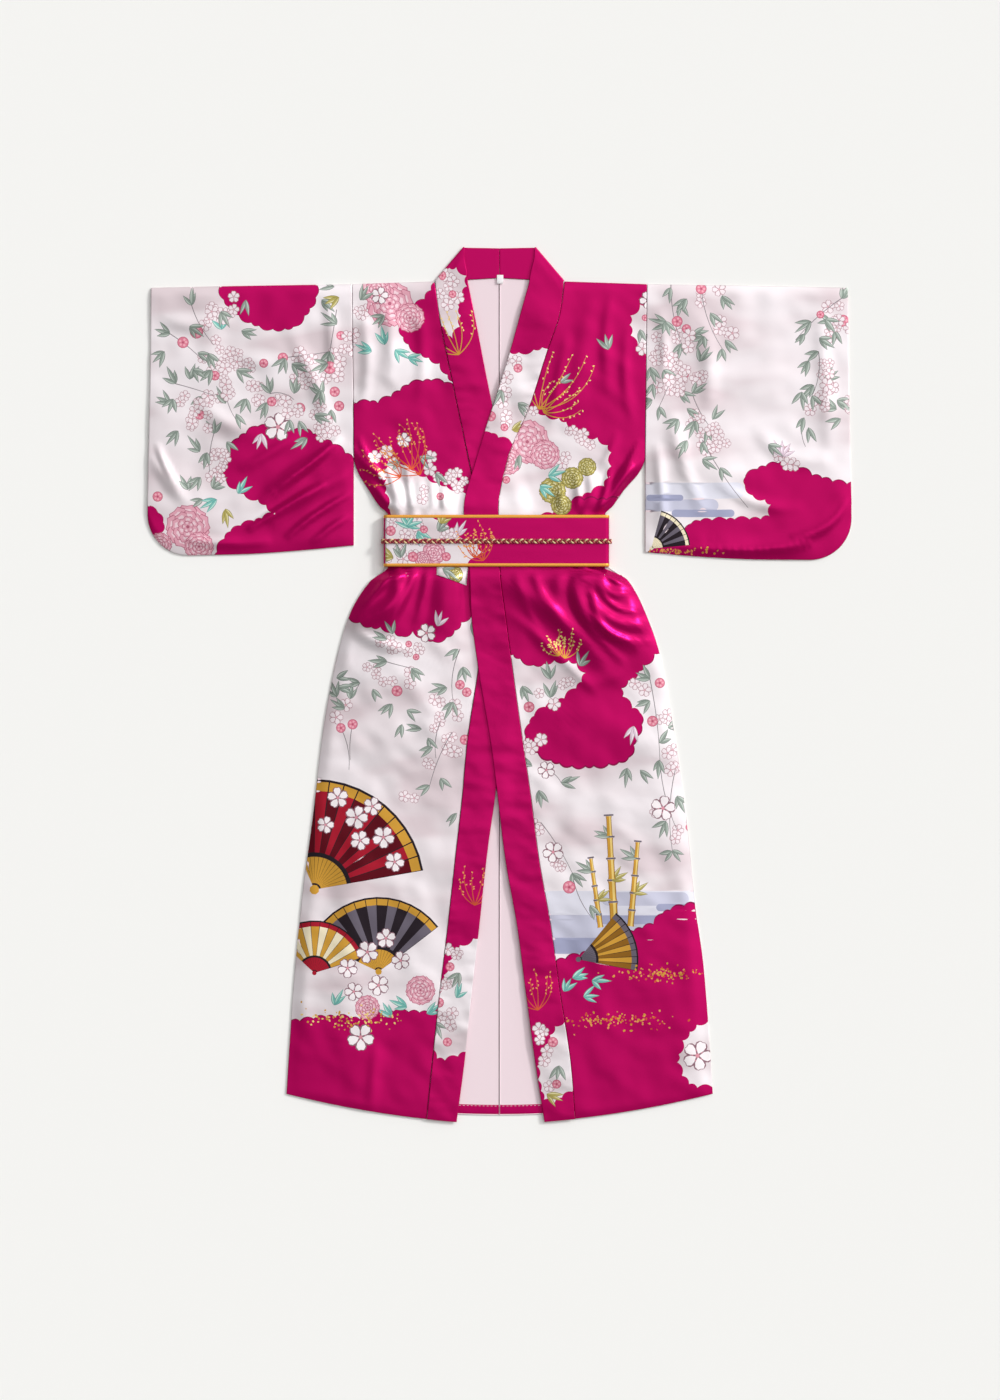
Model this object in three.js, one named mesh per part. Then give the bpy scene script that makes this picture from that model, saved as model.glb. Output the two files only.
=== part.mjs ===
import * as THREE from "three";

// A satin robe with its sash, laid flat on a table with the front up. Millimetres.
// While it is cut and sewn here, x is 0 at the centre back and grows towards the viewer's right, y is 0 at
// the shoulder fold and falls towards the hem, and z is the height above the table. The group is then moved,
// so that the origin is the middle of the footprint on the table.

// Driving sizes
const cloth = { wall: 1.3, gap: 0.3 }; // one layer of cloth, and the space left between two pieces
const band = { wall: 2.2, gap: 0.3 }; // the collar band is the same cloth folded double
const robe = { hem: -1366, backHem: -1351, armpit: -290, neck: 105.5, width: 239.2, armpitWidth: 236 };
const sash = { left: -187.5, right: 177.7, top: -378, bottom: -462, wall: 2.4, corner: 6, side: 17, crown: 20 };
const piping = { width: 6, proud: 0.4 };
const braid = { width: 9, thick: 4, centre: -421, low: 7 };
const sleeve = {
  reach: 572.5,
  cornerRadius: 70,
  stations: [0, 0.06, 0.16, 0.28, 0.4, 0.53, 0.66, 0.8, 0.92],
  cornerAngles: [0, 22, 44, 64, 90],
  levels: [0, 0.05, 0.14, 0.26, 0.38, 0.5, 0.58, 0.65, 0.71, 0.77, 0.83, 0.89, 0.95, 1],
};
const loop = { left: -5, right: 7, low: -3, high: 12, wall: 1 };
const tuck = { left: -101.5, right: -50.5, slant: 3, top: -462.5, lowLeft: -475, lowRight: -492 };
// How high loose cloth lies, and how far in from a seam, a fold or a hem it reaches that height
const loose = { rise: 2.2, edge: 20, fold: 16, hem: 14, hemShare: 0.35, waistRise: 3.5, waistEdge: 30, waistReach: 70 };
const pleat = { height: 2.2, spacing: 27.6, from: 104, full: 136 };
// Where the over front lies on the under one, and how far the folds under it are pressed flat
const overlap = { top: -120, topFull: -190, lowFull: -845, low: -905, reach: 34, full: 4, pressed: 0.28, own: 0.6 };

// Sections down the robe below the armpit: the side seams left and right of the centre back.
const sideSections = [
  { y: -290, left: -236, right: 236 },
  { y: -306, left: -231, right: 229 },
  { y: -338, left: -212, right: 202 },
  { y: -366, left: -193, right: 182 },
  { y: -376, left: -181.5, right: 171.5 },
  { y: -464, left: -181.5, right: 171.5 },
  { y: -474, left: -196, right: 197 },
  { y: -486, left: -211, right: 211 },
  { y: -538, left: -243, right: 238 },
  { y: -602, left: -262, right: 260 },
  { y: -713, left: -284, right: 281 },
  { y: -875, left: -304, right: 304 },
  { y: -1005, left: -321, right: 317 },
  { y: -1121, left: -331, right: 331 },
  { y: -1366, left: -345.5, right: 346 },
];

// The collar band on each front: its seam to the front and its free folded edge.
const underBand = [
  { y: 1.3, seam: -105.5, free: -51.5 },
  { y: -60, seam: -96.5, free: -39 },
  { y: -158, seam: -77, free: -20 },
  { y: -280, seam: -51.4, free: 5 },
  { y: -378, seam: -31.6, free: 24 },
  { y: -462, seam: -20.5, free: 34.5 },
  { y: -550, seam: -25, free: 30 },
  { y: -631, seam: -34.9, free: 20 },
  { y: -751, seam: -52.9, free: 2 },
  { y: -835, seam: -60.4, free: -7 },
  { y: -918, seam: -69.8, free: -18.7 },
  { y: -1063, seam: -86, free: -34.6 },
  { y: -1175, seam: -99.3, free: -47 },
  { y: -1266, seam: -108.2, free: -56.4 },
  { y: -1366, seam: -118, free: -69.5 },
];
const overBand = [
  { y: 1.3, seam: 105.5, free: 48.5 },
  { y: -47, seam: 98.7, free: 35 },
  { y: -116, seam: 76, free: 15.9 },
  { y: -202, seam: 48.3, free: -11.2 },
  { y: -290, seam: 12.2, free: -38.5 },
  { y: -370, seam: -2, free: -58 },
  { y: -420, seam: -1.5, free: -55 },
  { y: -477, seam: 1.2, free: -48 },
  { y: -527, seam: 7.6, free: -46.5 },
  { y: -628, seam: 21.2, free: -34.2 },
  { y: -751, seam: 38.5, free: -13.8 },
  { y: -826, seam: 49.6, free: -4.1 },
  { y: -933, seam: 63.5, free: 8.9 },
  { y: -1049, seam: 83.8, free: 29.2 },
  { y: -1150, seam: 97.4, free: 42.2 },
  { y: -1280, seam: 116, free: 59.5 },
  { y: -1366, seam: 122.5, free: 73 },
];
// Where each half of the band turns over at the side of the neck: from the neck point up to its free edge.
const turnover = { seamX: 105.5, seamY: 2.4, freeX: 58.5, freeY: 57.5, middleY: 55, climbFrom: -115 };
const neckline = { side: -1.2, middle: 6.2 };

// The open edge of each sleeve, by its distance from the centre back.
const cuffSections = [
  { y: 2, cuff: 565 },
  { y: -150, cuff: 566.5 },
  { y: -290, cuff: 569.5 },
  { y: -440, cuff: 572.5 },
];
const sleeveEdges = [
  { x: 235, top: -3.2, left: -427, right: -438 },
  { x: 330, top: -4.6, left: -436, right: -446 },
  { x: 420, top: -6, left: -441.5, right: -450 },
  { x: 573, top: -9, left: -444.5, right: -451 },
];

// The largest folds: a ridge through three points, as wide and high as it is at its middle.
const underFolds = [
  { x0: -235, y0: -273, x1: -216, y1: -296, x2: -192, y2: -318, width: 8, height: 4.5 },
  { x0: -212, y0: -329, x1: -189, y1: -351, x2: -172, y2: -374, width: 8, height: 6 },
  { x0: -172, y0: -318, x1: -163, y1: -343, x2: -158, y2: -368, width: 8, height: 5 },
  { x0: -132, y0: -320, x1: -127, y1: -350, x2: -129, y2: -376, width: 11, height: 3.5 },
  { x0: -149, y0: -463, x1: -168, y1: -480, x2: -190, y2: -494, width: 9, height: 5 },
  { x0: -163, y0: -470, x1: -172, y1: -520, x2: -226, y2: -551, width: 12, height: 9 },
  { x0: -96, y0: -462, x1: -90, y1: -515, x2: -100, y2: -585, width: 20, height: 5.5 },
  { x0: -262, y0: -606, x1: -180, y1: -628, x2: -62, y2: -598, width: 30, height: 3.2 },
  { x0: -284, y0: -760, x1: -210, y1: -742, x2: -92, y2: -700, width: 34, height: 2.6 },
  { x0: -228, y0: -860, x1: -236, y1: -1040, x2: -262, y2: -1240, width: 36, height: 2.4 },
];
const overFolds = [
  { x0: 231, y0: -288, x1: 202, y1: -321, x2: 168, y2: -368, width: 10, height: 7 },
  { x0: 144, y0: -304, x1: 150, y1: -338, x2: 146, y2: -372, width: 10, height: 4.5 },
  { x0: 147, y0: -30, x1: 138, y1: -95, x2: 122, y2: -196, width: 18, height: 3 },
  { x0: 162, y0: -464, x1: 176, y1: -502, x2: 212, y2: -500, width: 8, height: 6.5 },
  { x0: 146, y0: -480, x1: 172, y1: -541, x2: 240, y2: -557, width: 10, height: 8 },
  { x0: 139, y0: -464, x1: 140, y1: -534, x2: 219, y2: -589, width: 11, height: 9.5 },
  { x0: 12, y0: -492, x1: 84, y1: -534, x2: 166, y2: -618, width: 15, height: 7.5 },
  { x0: 98, y0: -462, x1: 97, y1: -492, x2: 92, y2: -524, width: 13, height: 5 },
  { x0: 92, y0: -700, x1: 180, y1: -728, x2: 282, y2: -742, width: 36, height: 2.6 },
  { x0: 206, y0: -840, x1: 226, y1: -1020, x2: 252, y2: -1230, width: 36, height: 2.4 },
];
const leftSleeveFolds = [
  { x0: -378, y0: -350, x1: -327, y1: -306, x2: -272, y2: -270, width: 12, height: 6 },
  { x0: -364, y0: -386, x1: -308, y1: -346, x2: -240, y2: -308, width: 11, height: 5 },
  { x0: -560, y0: -292, x1: -537, y1: -322, x2: -512, y2: -352, width: 10, height: 3.5 },
];
const rightSleeveFolds = [
  { x0: 330, y0: -424, x1: 470, y1: -424, x2: 556, y2: -350, width: 15, height: 4.5 },
  { x0: 262, y0: -250, x1: 330, y1: -300, x2: 420, y2: -318, width: 26, height: 2.2 },
];
// Where the cloth stands full beside the sash.
const fullness = [
  { x: -186, y: -530, wide: 55, long: 60, height: 11 },
  { x: 184, y: -536, wide: 58, long: 66, height: 12 },
  { x: -92, y: -505, wide: 52, long: 52, height: 5 },
  { x: 72, y: -505, wide: 60, long: 56, height: 5.5 },
  { x: 72, y: -40, wide: 40, long: 70, height: 4.5 },
  { x: -72, y: -40, wide: 40, long: 70, height: 3 },
];

// Curves through the tables
const clamp01 = (t) => Math.min(1, Math.max(0, t));
const mix = (a, b, t) => a + (b - a) * t;
const ease = (from, to, value) => THREE.MathUtils.smoothstep((value - from) / (to - from), 0, 1);

// A smooth curve through one column of a table, with no overshoot between its rows.
function through(rows, along, column) {
  const sorted = [...rows].sort((a, b) => a[along] - b[along]);
  const at = sorted.map((row) => row[along]);
  const value = sorted.map((row) => row[column]);
  const slope = at.slice(1).map((a, i) => (value[i + 1] - value[i]) / (a - at[i]));
  const tangent = at.map((_, i) => {
    const before = slope[Math.max(0, i - 1)];
    const after = slope[Math.min(slope.length - 1, i)];
    return before * after <= 0 ? 0 : (2 * before * after) / (before + after);
  });
  return (place) => {
    const p = Math.min(at[at.length - 1], Math.max(at[0], place));
    let i = 0;
    while (i < at.length - 2 && p > at[i + 1]) i += 1;
    const step = at[i + 1] - at[i];
    const t = (p - at[i]) / step;
    const lean = (1 - t) * (1 - t) * t * tangent[i] - t * t * (1 - t) * tangent[i + 1];
    return mix(value[i], value[i + 1], t * t * (3 - 2 * t)) + step * lean;
  };
}

const signOf = { left: -1, right: 1 };
const sleeveCuff = through(cuffSections, "y", "cuff");
const sleeveTop = through(sleeveEdges, "x", "top");
const armhole = (y) => mix(robe.width, robe.armpitWidth, clamp01(y / robe.armpit));
const sideSeam = (side) => {
  const below = through(sideSections, "y", side);
  return (y) => (y > robe.armpit ? signOf[side] * armhole(y) : below(y));
};
const sideOf = { left: sideSeam("left"), right: sideSeam("right") };
const edgeOf = {
  left: { seam: through(underBand, "y", "seam"), free: through(underBand, "y", "free") },
  right: { seam: through(overBand, "y", "seam"), free: through(overBand, "y", "free") },
};
const neckPoint = underBand[0].y;
const shoulder = (x) =>
  mix(neckPoint, sleeveEdges[0].top, clamp01((Math.abs(x) - robe.neck) / (robe.width - robe.neck)));

// The hems curve up towards the side seams, and take the lower rows of each panel with them.
const frontHem = (x) => robe.hem + 0.036 * Math.abs(x) + 0.00031 * x * x;
const backHem = (x) => robe.backHem + 0.0003 * x * x;
const hung = (x, level, hem, middle) => level + (hem(x) - middle) * ease(-1000, middle, level);

// Height of the cloth above what it lies on
const rolled = (distance, width) => Math.sin((Math.PI / 2) * clamp01(distance / width));
const inSash = (y) => ease(sash.top + 18, sash.top + 2, y) * ease(sash.bottom - 18, sash.bottom - 2, y);
const nearSash = (y) => {
  const away = Math.max(0, y - sash.top, sash.bottom - y);
  return Math.exp(-((away / loose.waistReach) ** 2));
};

// A ridge's curve passes its middle point halfway along. It is stepped along, and the nearest step counts.
function bend(from, middle, to, t) {
  const pull = 2 * middle - (from + to) / 2;
  return mix(mix(from, pull, t), mix(pull, to, t), t);
}
function ridge(fold, x, y) {
  const steps = 14;
  let nearest = Infinity;
  let share = 0;
  for (let i = 0; i <= steps; i += 1) {
    const t = i / steps;
    const alongX = bend(fold.x0, fold.x1, fold.x2, t);
    const alongY = bend(fold.y0, fold.y1, fold.y2, t);
    const distance = Math.hypot(x - alongX, y - alongY);
    if (distance < nearest) {
      nearest = distance;
      share = t;
    }
  }
  const taper = 0.35 + 0.65 * Math.sin(Math.PI * share);
  return fold.height * taper * Math.exp(-((nearest / fold.width) ** 2));
}
const ridges = (folds, x, y) => folds.reduce((sum, fold) => sum + ridge(fold, x, y), 0);
const swell = (f, x, y) => f.height * Math.exp(-(((x - f.x) / f.wide) ** 2) - ((y - f.y) / f.long) ** 2);
const full = (x, y) => fullness.reduce((sum, f) => sum + swell(f, x, y), 0);
// The small pleats that the sash presses into the waist, at its sides.
function pleats(x, y) {
  const wave = 0.5 + 0.5 * Math.cos((2 * Math.PI * x) / pleat.spacing);
  return pleat.height * wave * nearSash(y) ** 4 * ease(pleat.from, pleat.full, Math.abs(x));
}

// The back lies on the table, and is lifted over the back of the sash.
const sashBack = { height: piping.proud + sash.wall + cloth.gap, from: 55, full: 5 };
function backUnder(y) {
  const fromAbove = ease(sash.top + sashBack.from, sash.top + sashBack.full, y);
  const fromBelow = ease(sash.bottom - sashBack.from, sash.bottom - sashBack.full, y);
  return sashBack.height * fromAbove * fromBelow;
}
const backTop = (y) => backUnder(y) + cloth.wall;

// How much of a front's rise is left near its edges: nothing at the shoulder fold and the side seam.
function edgeShare(side, x, y) {
  const belowArm = ease(robe.armpit + 28, robe.armpit - 28, y);
  const width = mix(loose.edge, loose.waistEdge, nearSash(y));
  const seam = 1 - belowArm * (1 - rolled(Math.abs(sideOf[side](y) - x), width));
  const hem = mix(loose.hemShare, 1, rolled(y - frontHem(x), loose.hem));
  return seam * hem * rolled(shoulder(x) - y, loose.fold);
}
const folded = { left: underFolds, right: overFolds };
function rise(side, x, y) {
  const waist = loose.waistRise * nearSash(y);
  const free = (full(x, y) + ridges(folded[side], x, y)) * (1 - inSash(y));
  return (loose.rise + waist + free + pleats(x, y)) * edgeShare(side, x, y);
}

// The underside of the under front, which is pressed flatter where the over front lies on it.
function underLow(x, y) {
  const past = x - edgeOf.right.free(y);
  const levelShare = ease(overlap.top, overlap.topFull, y) * ease(overlap.low, overlap.lowFull, y);
  const covered = ease(-overlap.reach, 0, past) * levelShare;
  return backTop(y) + cloth.gap + rise("left", x, y) * mix(1, overlap.pressed, covered);
}
// The underside of the over front, which comes down to the back beyond the under front's free edge.
function overLow(x, y) {
  const past = x - edgeOf.left.free(y);
  const levelShare = ease(overlap.top, overlap.topFull, y) * ease(overlap.low, overlap.lowFull, y);
  const lifted = ease(overlap.reach, overlap.full, past) * levelShare;
  const support = band.wall + band.gap + rise("left", x, y) * overlap.pressed;
  const own = rise("right", x, y) * mix(1, overlap.own, lifted);
  return backTop(y) + cloth.gap + lifted * support + own;
}
const lowOf = { left: underLow, right: overLow };
// Beside the neck the band climbs over its own turned part.
const neckClimb = { from: -70, to: -4, hold: -6 };
function bandLow(side, x, y) {
  const onFront = lowOf[side](x, Math.min(y, neckClimb.hold));
  return mix(onFront, band.wall + band.gap, ease(neckClimb.from, neckClimb.to, y));
}

// A closed wall from a grid of points on its outer and inner faces. The grid ends where a point is missing.
function wall(grid) {
  const vertices = [];
  const triangles = [];
  const index = grid.map((row) =>
    row.map((cell) => {
      if (!cell) return -1;
      vertices.push(...cell.outer, ...cell.inner);
      return vertices.length / 6 - 1;
    }),
  );
  const edges = new Map();
  const quad = (a, b, c, d) => triangles.push(a, b, c, a, c, d);
  for (let r = 0; r < index.length - 1; r += 1) {
    for (let c = 0; c < index[r].length - 1; c += 1) {
      const corners = [index[r][c], index[r][c + 1], index[r + 1][c + 1], index[r + 1][c]];
      if (corners.some((i) => i < 0)) continue;
      const outer = corners.map((i) => 2 * i);
      const inner = corners.map((i) => 2 * i + 1);
      quad(...outer);
      quad(inner[3], inner[2], inner[1], inner[0]);
      corners.forEach((a, i) => edges.set(`${a},${corners[(i + 1) % 4]}`, [a, corners[(i + 1) % 4]]));
    }
  }
  edges.forEach(([a, b]) => {
    if (!edges.has(`${b},${a}`)) quad(2 * b, 2 * a, 2 * a + 1, 2 * b + 1);
  });
  if (signedVolume(vertices, triangles) < 0) {
    for (let i = 0; i < triangles.length; i += 3) {
      [triangles[i + 1], triangles[i + 2]] = [triangles[i + 2], triangles[i + 1]];
    }
  }
  const geometry = new THREE.BufferGeometry();
  geometry.setAttribute("position", new THREE.Float32BufferAttribute(vertices, 3));
  geometry.setIndex(triangles);
  geometry.computeVertexNormals();
  return geometry;
}

function signedVolume(vertices, triangles) {
  const corner = (i) => new THREE.Vector3(...vertices.slice(3 * i, 3 * i + 3));
  let volume = 0;
  for (let i = 0; i < triangles.length; i += 3) {
    const [a, b, c] = [0, 1, 2].map((k) => corner(triangles[i + k]));
    volume += a.dot(b.cross(c)) / 6;
  }
  return volume;
}

const upper = (x, y, low, thick) => ({ outer: [x, y, low + thick], inner: [x, y, low] });
const lower = (x, y, low, thick) => ({ outer: [x, y, low], inner: [x, y, low + thick] });

// The rows of a fold whose outermost line is at (x, y), which turns the cloth over towards (nx, ny).
const turnSteps = [60, 0, -60];
function turned(x, y, nx, ny, thick, gap, degrees) {
  const outerRadius = thick + gap / 2;
  const innerRadius = gap / 2;
  const angle = THREE.MathUtils.degToRad(degrees);
  const at = (radius) => {
    const reach = radius * Math.cos(angle) - outerRadius;
    return [x + nx * reach, y + ny * reach, outerRadius + radius * Math.sin(angle)];
  };
  return { outer: at(outerRadius), inner: at(innerRadius) };
}

// Levels down a panel. There is one just outside each edge of the sash, and they stand close together beside
// the sash and the shoulder and wider apart further away.
function levels(from, to, fine, coarse, grow) {
  const above = sash.top + 2;
  const below = sash.bottom - 2;
  const spread = (start, end) => {
    const way = Math.sign(end - start);
    const found = [start];
    let y = start;
    while ((end - y) * way > fine) {
      const away = Math.min(Math.abs(y - start), Math.abs(y));
      y += way * Math.min(coarse, fine + grow * away);
      if ((end - y) * way > fine / 2) found.push(y);
    }
    found.push(end);
    return found;
  };
  const inside = Math.max(1, Math.round((above - below) / (1.6 * fine)));
  const middle = Array.from({ length: inside - 1 }, (_, i) => mix(above, below, (i + 1) / inside));
  return [...spread(above, from).reverse(), ...middle, ...spread(below, to)];
}

const shoulderLevel = -14;
const frontLevels = levels(shoulderLevel, robe.hem, 11.5, 62, 0.13);
const backLevels = levels(shoulderLevel, robe.backHem, 20, 150, 0.35);

// One body panel: a front, turned over at the shoulder, and half of the back down to its own hem.
function bodyPanel(side) {
  const sign = signOf[side];
  const columns = 16;
  const neckColumns = 4;
  const half = cloth.gap / 2;
  const radius = cloth.wall + half;
  const edgeX = (y, share) => {
    const seam = edgeOf[side].seam(y) + sign * half;
    const seamSide = sideOf[side](y) - sign * half;
    return mix(seam, seamSide, share);
  };
  const none = Array(neckColumns).fill(null);
  const shares = Array.from({ length: columns + 1 }, (_, i) => i / columns);

  const front = frontLevels.map((level) => {
    const row = shares.map((share) => {
      const x = edgeX(level, share);
      const y = hung(x, level, frontHem, robe.hem);
      return upper(x, y, lowOf[side](x, y), cloth.wall);
    });
    return [...none, ...row];
  });
  const fold = [90, ...turnSteps].map((degrees) => {
    const row = shares.map((share) => {
      const x = edgeX(0, share);
      return turned(x, shoulder(x), 0, 1, cloth.wall, cloth.gap, degrees);
    });
    return [...none, ...row];
  });
  const neckX = (y) => sign * (robe.neck + half) * (Math.abs(sideOf[side](y)) / robe.width);
  const neckY = (x) => mix(neckline.side, neckline.middle, clamp01(1 - Math.abs(x) / robe.neck));
  const backRow = (level, first) => {
    const middle = Array.from({ length: neckColumns }, (_, i) => {
      const x = mix(sign * half, neckX(level), i / neckColumns);
      const y = first ? neckY(x) : hung(x, level, backHem, robe.backHem);
      return lower(x, y, backUnder(y), cloth.wall);
    });
    const rest = shares.map((share) => {
      const x = first ? edgeX(0, share) : mix(neckX(level), sideOf[side](level) - sign * half, share);
      const y = first ? shoulder(x) - radius : hung(x, level, backHem, robe.backHem);
      return lower(x, y, backUnder(y), cloth.wall);
    });
    return [...middle, ...rest];
  };
  const back = backLevels.map((level, i) => backRow(level, i === 0));
  return wall([...front.reverse(), ...fold, ...back]);
}

// One sleeve: a single cloth turned over at the top, sewn along the bottom and round the lower corner.
function sleevePanel(side, folds) {
  const sign = signOf[side];
  const half = cloth.gap / 2;
  const radius = cloth.wall + half;
  const bottomLine = through(sleeveEdges, "x", side);
  const cornerStart = sleeve.reach - sleeve.cornerRadius;
  const straight = sleeve.stations.map((t) => mix(sleeveEdges[0].x, cornerStart, t));
  const sineOf = (degrees) => Math.sin(THREE.MathUtils.degToRad(degrees));
  const round = sleeve.cornerAngles.map((degrees) => cornerStart + sleeve.cornerRadius * sineOf(degrees));
  const stations = [...straight, ...round];
  const reach = stations[stations.length - 1];
  const bottom = (x) => {
    const past = Math.max(0, x - cornerStart);
    const lift = sleeve.cornerRadius - Math.sqrt(Math.max(0, sleeve.cornerRadius ** 2 - past ** 2));
    return bottomLine(x) + lift;
  };
  const place = (station, t) => {
    const y = mix(sleeveTop(station) - radius, bottom(station), t);
    const share = (station - stations[0]) / (reach - stations[0]);
    const x = mix(armhole(y) + half, sleeveCuff(y), share);
    return { x: sign * x, y };
  };
  const height = (x, y, station, t) => {
    const fromSeam = Math.abs(x) - armhole(y);
    const belowArm = ease(robe.armpit + 20, robe.armpit - 30, y);
    const freeSeam = 1 - 0.75 * belowArm * (1 - rolled(fromSeam, loose.edge));
    const fromCuff = sleeveCuff(y) - Math.abs(x);
    const cuff = mix(0.8, 1, rolled(fromCuff, loose.edge));
    const fromBottom = (1 - t) * (sleeveTop(station) - bottom(station));
    const closed = rolled(sleeveTop(station) - y, loose.fold) * rolled(fromBottom, loose.edge);
    return (loose.rise + ridges(folds, x, y)) * freeSeam * cuff * closed;
  };
  const front = sleeve.levels.map((t) =>
    stations.map((station) => {
      const { x, y } = place(station, t);
      return upper(x, y, cloth.wall + cloth.gap + height(x, y, station, t), cloth.wall);
    }),
  );
  const fold = turnSteps.map((degrees) =>
    stations.map((station) => {
      const { x } = place(station, 0);
      return turned(x, sleeveTop(station), 0, 1, cloth.wall, cloth.gap, degrees);
    }),
  );
  const back = [0, 0.33, 0.66, 1].map((t) =>
    stations.map((station) => {
      const { x, y } = place(station, t);
      return lower(x, y, 0, cloth.wall);
    }),
  );
  return wall([...front.reverse(), ...fold, ...back]);
}

// One half of the collar band: up the front edge, turned over beside the neck, and along to the centre back.
function bandHalf(side) {
  const sign = signOf[side];
  const across = [0, 0.34, 0.67, 1];
  const half = band.gap / 2;
  const seamEnd = new THREE.Vector2(sign * turnover.seamX, turnover.seamY);
  const freeEnd = new THREE.Vector2(sign * turnover.freeX, turnover.freeY);
  const alongTurn = freeEnd.clone().sub(seamEnd).normalize();
  const out = new THREE.Vector2(-alongTurn.y, alongTurn.x).multiplyScalar(alongTurn.x < 0 ? -1 : 1);
  const front = frontLevels.map((level) => {
    const climb = (turnover.freeY - neckPoint) * ease(turnover.climbFrom, neckPoint, level);
    const freeY = level + climb;
    const seamX = edgeOf[side].seam(level) - sign * half;
    const turning = ease(neckPoint, turnover.freeY, freeY);
    const freeX = mix(edgeOf[side].free(freeY), sign * turnover.freeX, turning);
    return across.map((t) => {
      const x = mix(seamX, freeX, t);
      const y = hung(x, mix(level, freeY, t), frontHem, robe.hem);
      return upper(x, y, bandLow(side, x, y), band.wall);
    });
  });
  const fold = [90, ...turnSteps].map((degrees) =>
    across.map((t) => {
      const at = seamEnd.clone().lerp(freeEnd, t);
      return turned(at.x, at.y, out.x, out.y, band.wall, band.gap, degrees);
    }),
  );
  const back = [0, 0.35, 0.7, 1].map((q) =>
    across.map((t) => {
      const from = seamEnd.clone().lerp(freeEnd, t).addScaledVector(out, -(band.wall + half));
      const to = new THREE.Vector2(sign * half, mix(neckline.middle + 0.5, turnover.middleY, t));
      const at = from.lerp(to, q);
      return lower(at.x, at.y, 0, band.wall);
    }),
  );
  return wall([...front.reverse(), ...fold, ...back]);
}

// The outline of the sash seen from its end, drawn in from its outer face by inset.
function sashOutline(inset, Outline = THREE.Path) {
  const left = sash.left + inset;
  const right = sash.right - inset;
  const low = piping.proud + inset;
  const side = sash.side - inset;
  const crown = sash.crown - inset;
  const corner = sash.corner - Math.min(inset, sash.corner - 2.5);
  const middle = (left + right) / 2;
  const outline = new Outline();
  outline.moveTo(left + corner, low);
  outline.lineTo(right - corner, low);
  outline.absarc(right - corner, low + corner, corner, -Math.PI / 2, 0);
  outline.lineTo(right, side - corner);
  outline.absarc(right - corner, side - corner, corner, 0, Math.PI / 2);
  outline.quadraticCurveTo(middle, 2 * crown - side, left + corner, side);
  outline.absarc(left + corner, side - corner, corner, Math.PI / 2, Math.PI);
  outline.lineTo(left, low + corner);
  outline.absarc(left + corner, low + corner, corner, Math.PI, (3 * Math.PI) / 2);
  return outline;
}

// A ring of that outline, standing between two levels down the robe.
function sashRing(high, low, proud) {
  const shape = sashOutline(-proud, THREE.Shape);
  shape.holes.push(sashOutline(sash.wall));
  const ring = new THREE.ExtrudeGeometry(shape, { depth: high - low, bevelEnabled: false, curveSegments: 5 });
  ring.rotateX(Math.PI / 2);
  ring.translate(0, high, 0);
  return ring;
}

// The braid lies round the front of the sash and ends low on each of its sides.
function braidOnSash() {
  const away = braid.thick / 2 + cloth.gap;
  const corner = sash.corner + away;
  const left = sash.left - away;
  const right = sash.right + away;
  const side = sash.side + away;
  const line = new THREE.CurvePath();
  const middle = (left + right) / 2;
  const at = (x, z) => new THREE.Vector3(x, braid.centre, z);
  const straight = (from, to) => line.add(new THREE.LineCurve3(from, to));
  const curved = (from, pull, to) => line.add(new THREE.QuadraticBezierCurve3(from, pull, to));
  straight(at(left, braid.low), at(left, side - corner));
  curved(at(left, side - corner), at(left, side), at(left + corner, side));
  curved(at(left + corner, side), at(middle, 2 * (sash.crown + away) - side), at(right - corner, side));
  curved(at(right - corner, side), at(right, side), at(right, side - corner));
  straight(at(right, side - corner), at(right, braid.low));
  const smooth = new THREE.CatmullRomCurve3(line.getSpacedPoints(60));
  const section = new THREE.Shape();
  section.absellipse(0, 0, braid.width / 2, braid.thick / 2, 0, 2 * Math.PI);
  const sweep = { extrudePath: smooth, steps: 56, curveSegments: 5, bevelEnabled: false };
  return new THREE.ExtrudeGeometry(section, sweep);
}

// The printed corner of the tucked-up waist that shows under the sash, left of the over band.
function tuckCorner() {
  const columns = 7;
  const rows = 4;
  const clear = cloth.wall + 4 * cloth.gap;
  const grid = [];
  for (let r = 0; r <= rows; r += 1) {
    const row = [];
    for (let c = 0; c <= columns; c += 1) {
      const across = c / columns;
      const x = mix(tuck.left, tuck.right - tuck.slant * (r / rows), across);
      const y = mix(tuck.top, mix(tuck.lowLeft, tuck.lowRight, across), r / rows);
      row.push(upper(x, y, underLow(x, y) + clear, cloth.wall));
    }
    grid.push(row);
  }
  return wall(grid);
}

// The small hanging loop, a flat woven tab over the neck seam.
function hangingLoop() {
  const tab = new THREE.BoxGeometry(loop.right - loop.left, loop.high - loop.low, loop.wall);
  const height = band.wall + band.gap + loop.wall / 2;
  tab.translate((loop.left + loop.right) / 2, (loop.high + loop.low) / 2, height);
  return tab;
}

const satin = new THREE.MeshStandardMaterial({ color: 0xb70a5b, roughness: 0.34, metalness: 0 });
const blush = new THREE.MeshStandardMaterial({ color: 0xeedadd, roughness: 0.38, metalness: 0 });
const gold = new THREE.MeshStandardMaterial({ color: 0xdf9a3c, roughness: 0.35, metalness: 0.1 });
const braided = new THREE.MeshStandardMaterial({ color: 0x8d1f2c, roughness: 0.5, metalness: 0 });
const white = new THREE.MeshStandardMaterial({ color: 0xf4f0f0, roughness: 0.7, metalness: 0 });

const garment = new THREE.Group();
const robeGroup = new THREE.Group();
const sashGroup = new THREE.Group();
garment.add(robeGroup, sashGroup);

function place(group, name, geometry, material) {
  const piece = new THREE.Mesh(geometry, material);
  piece.name = name;
  group.add(piece);
}

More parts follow.
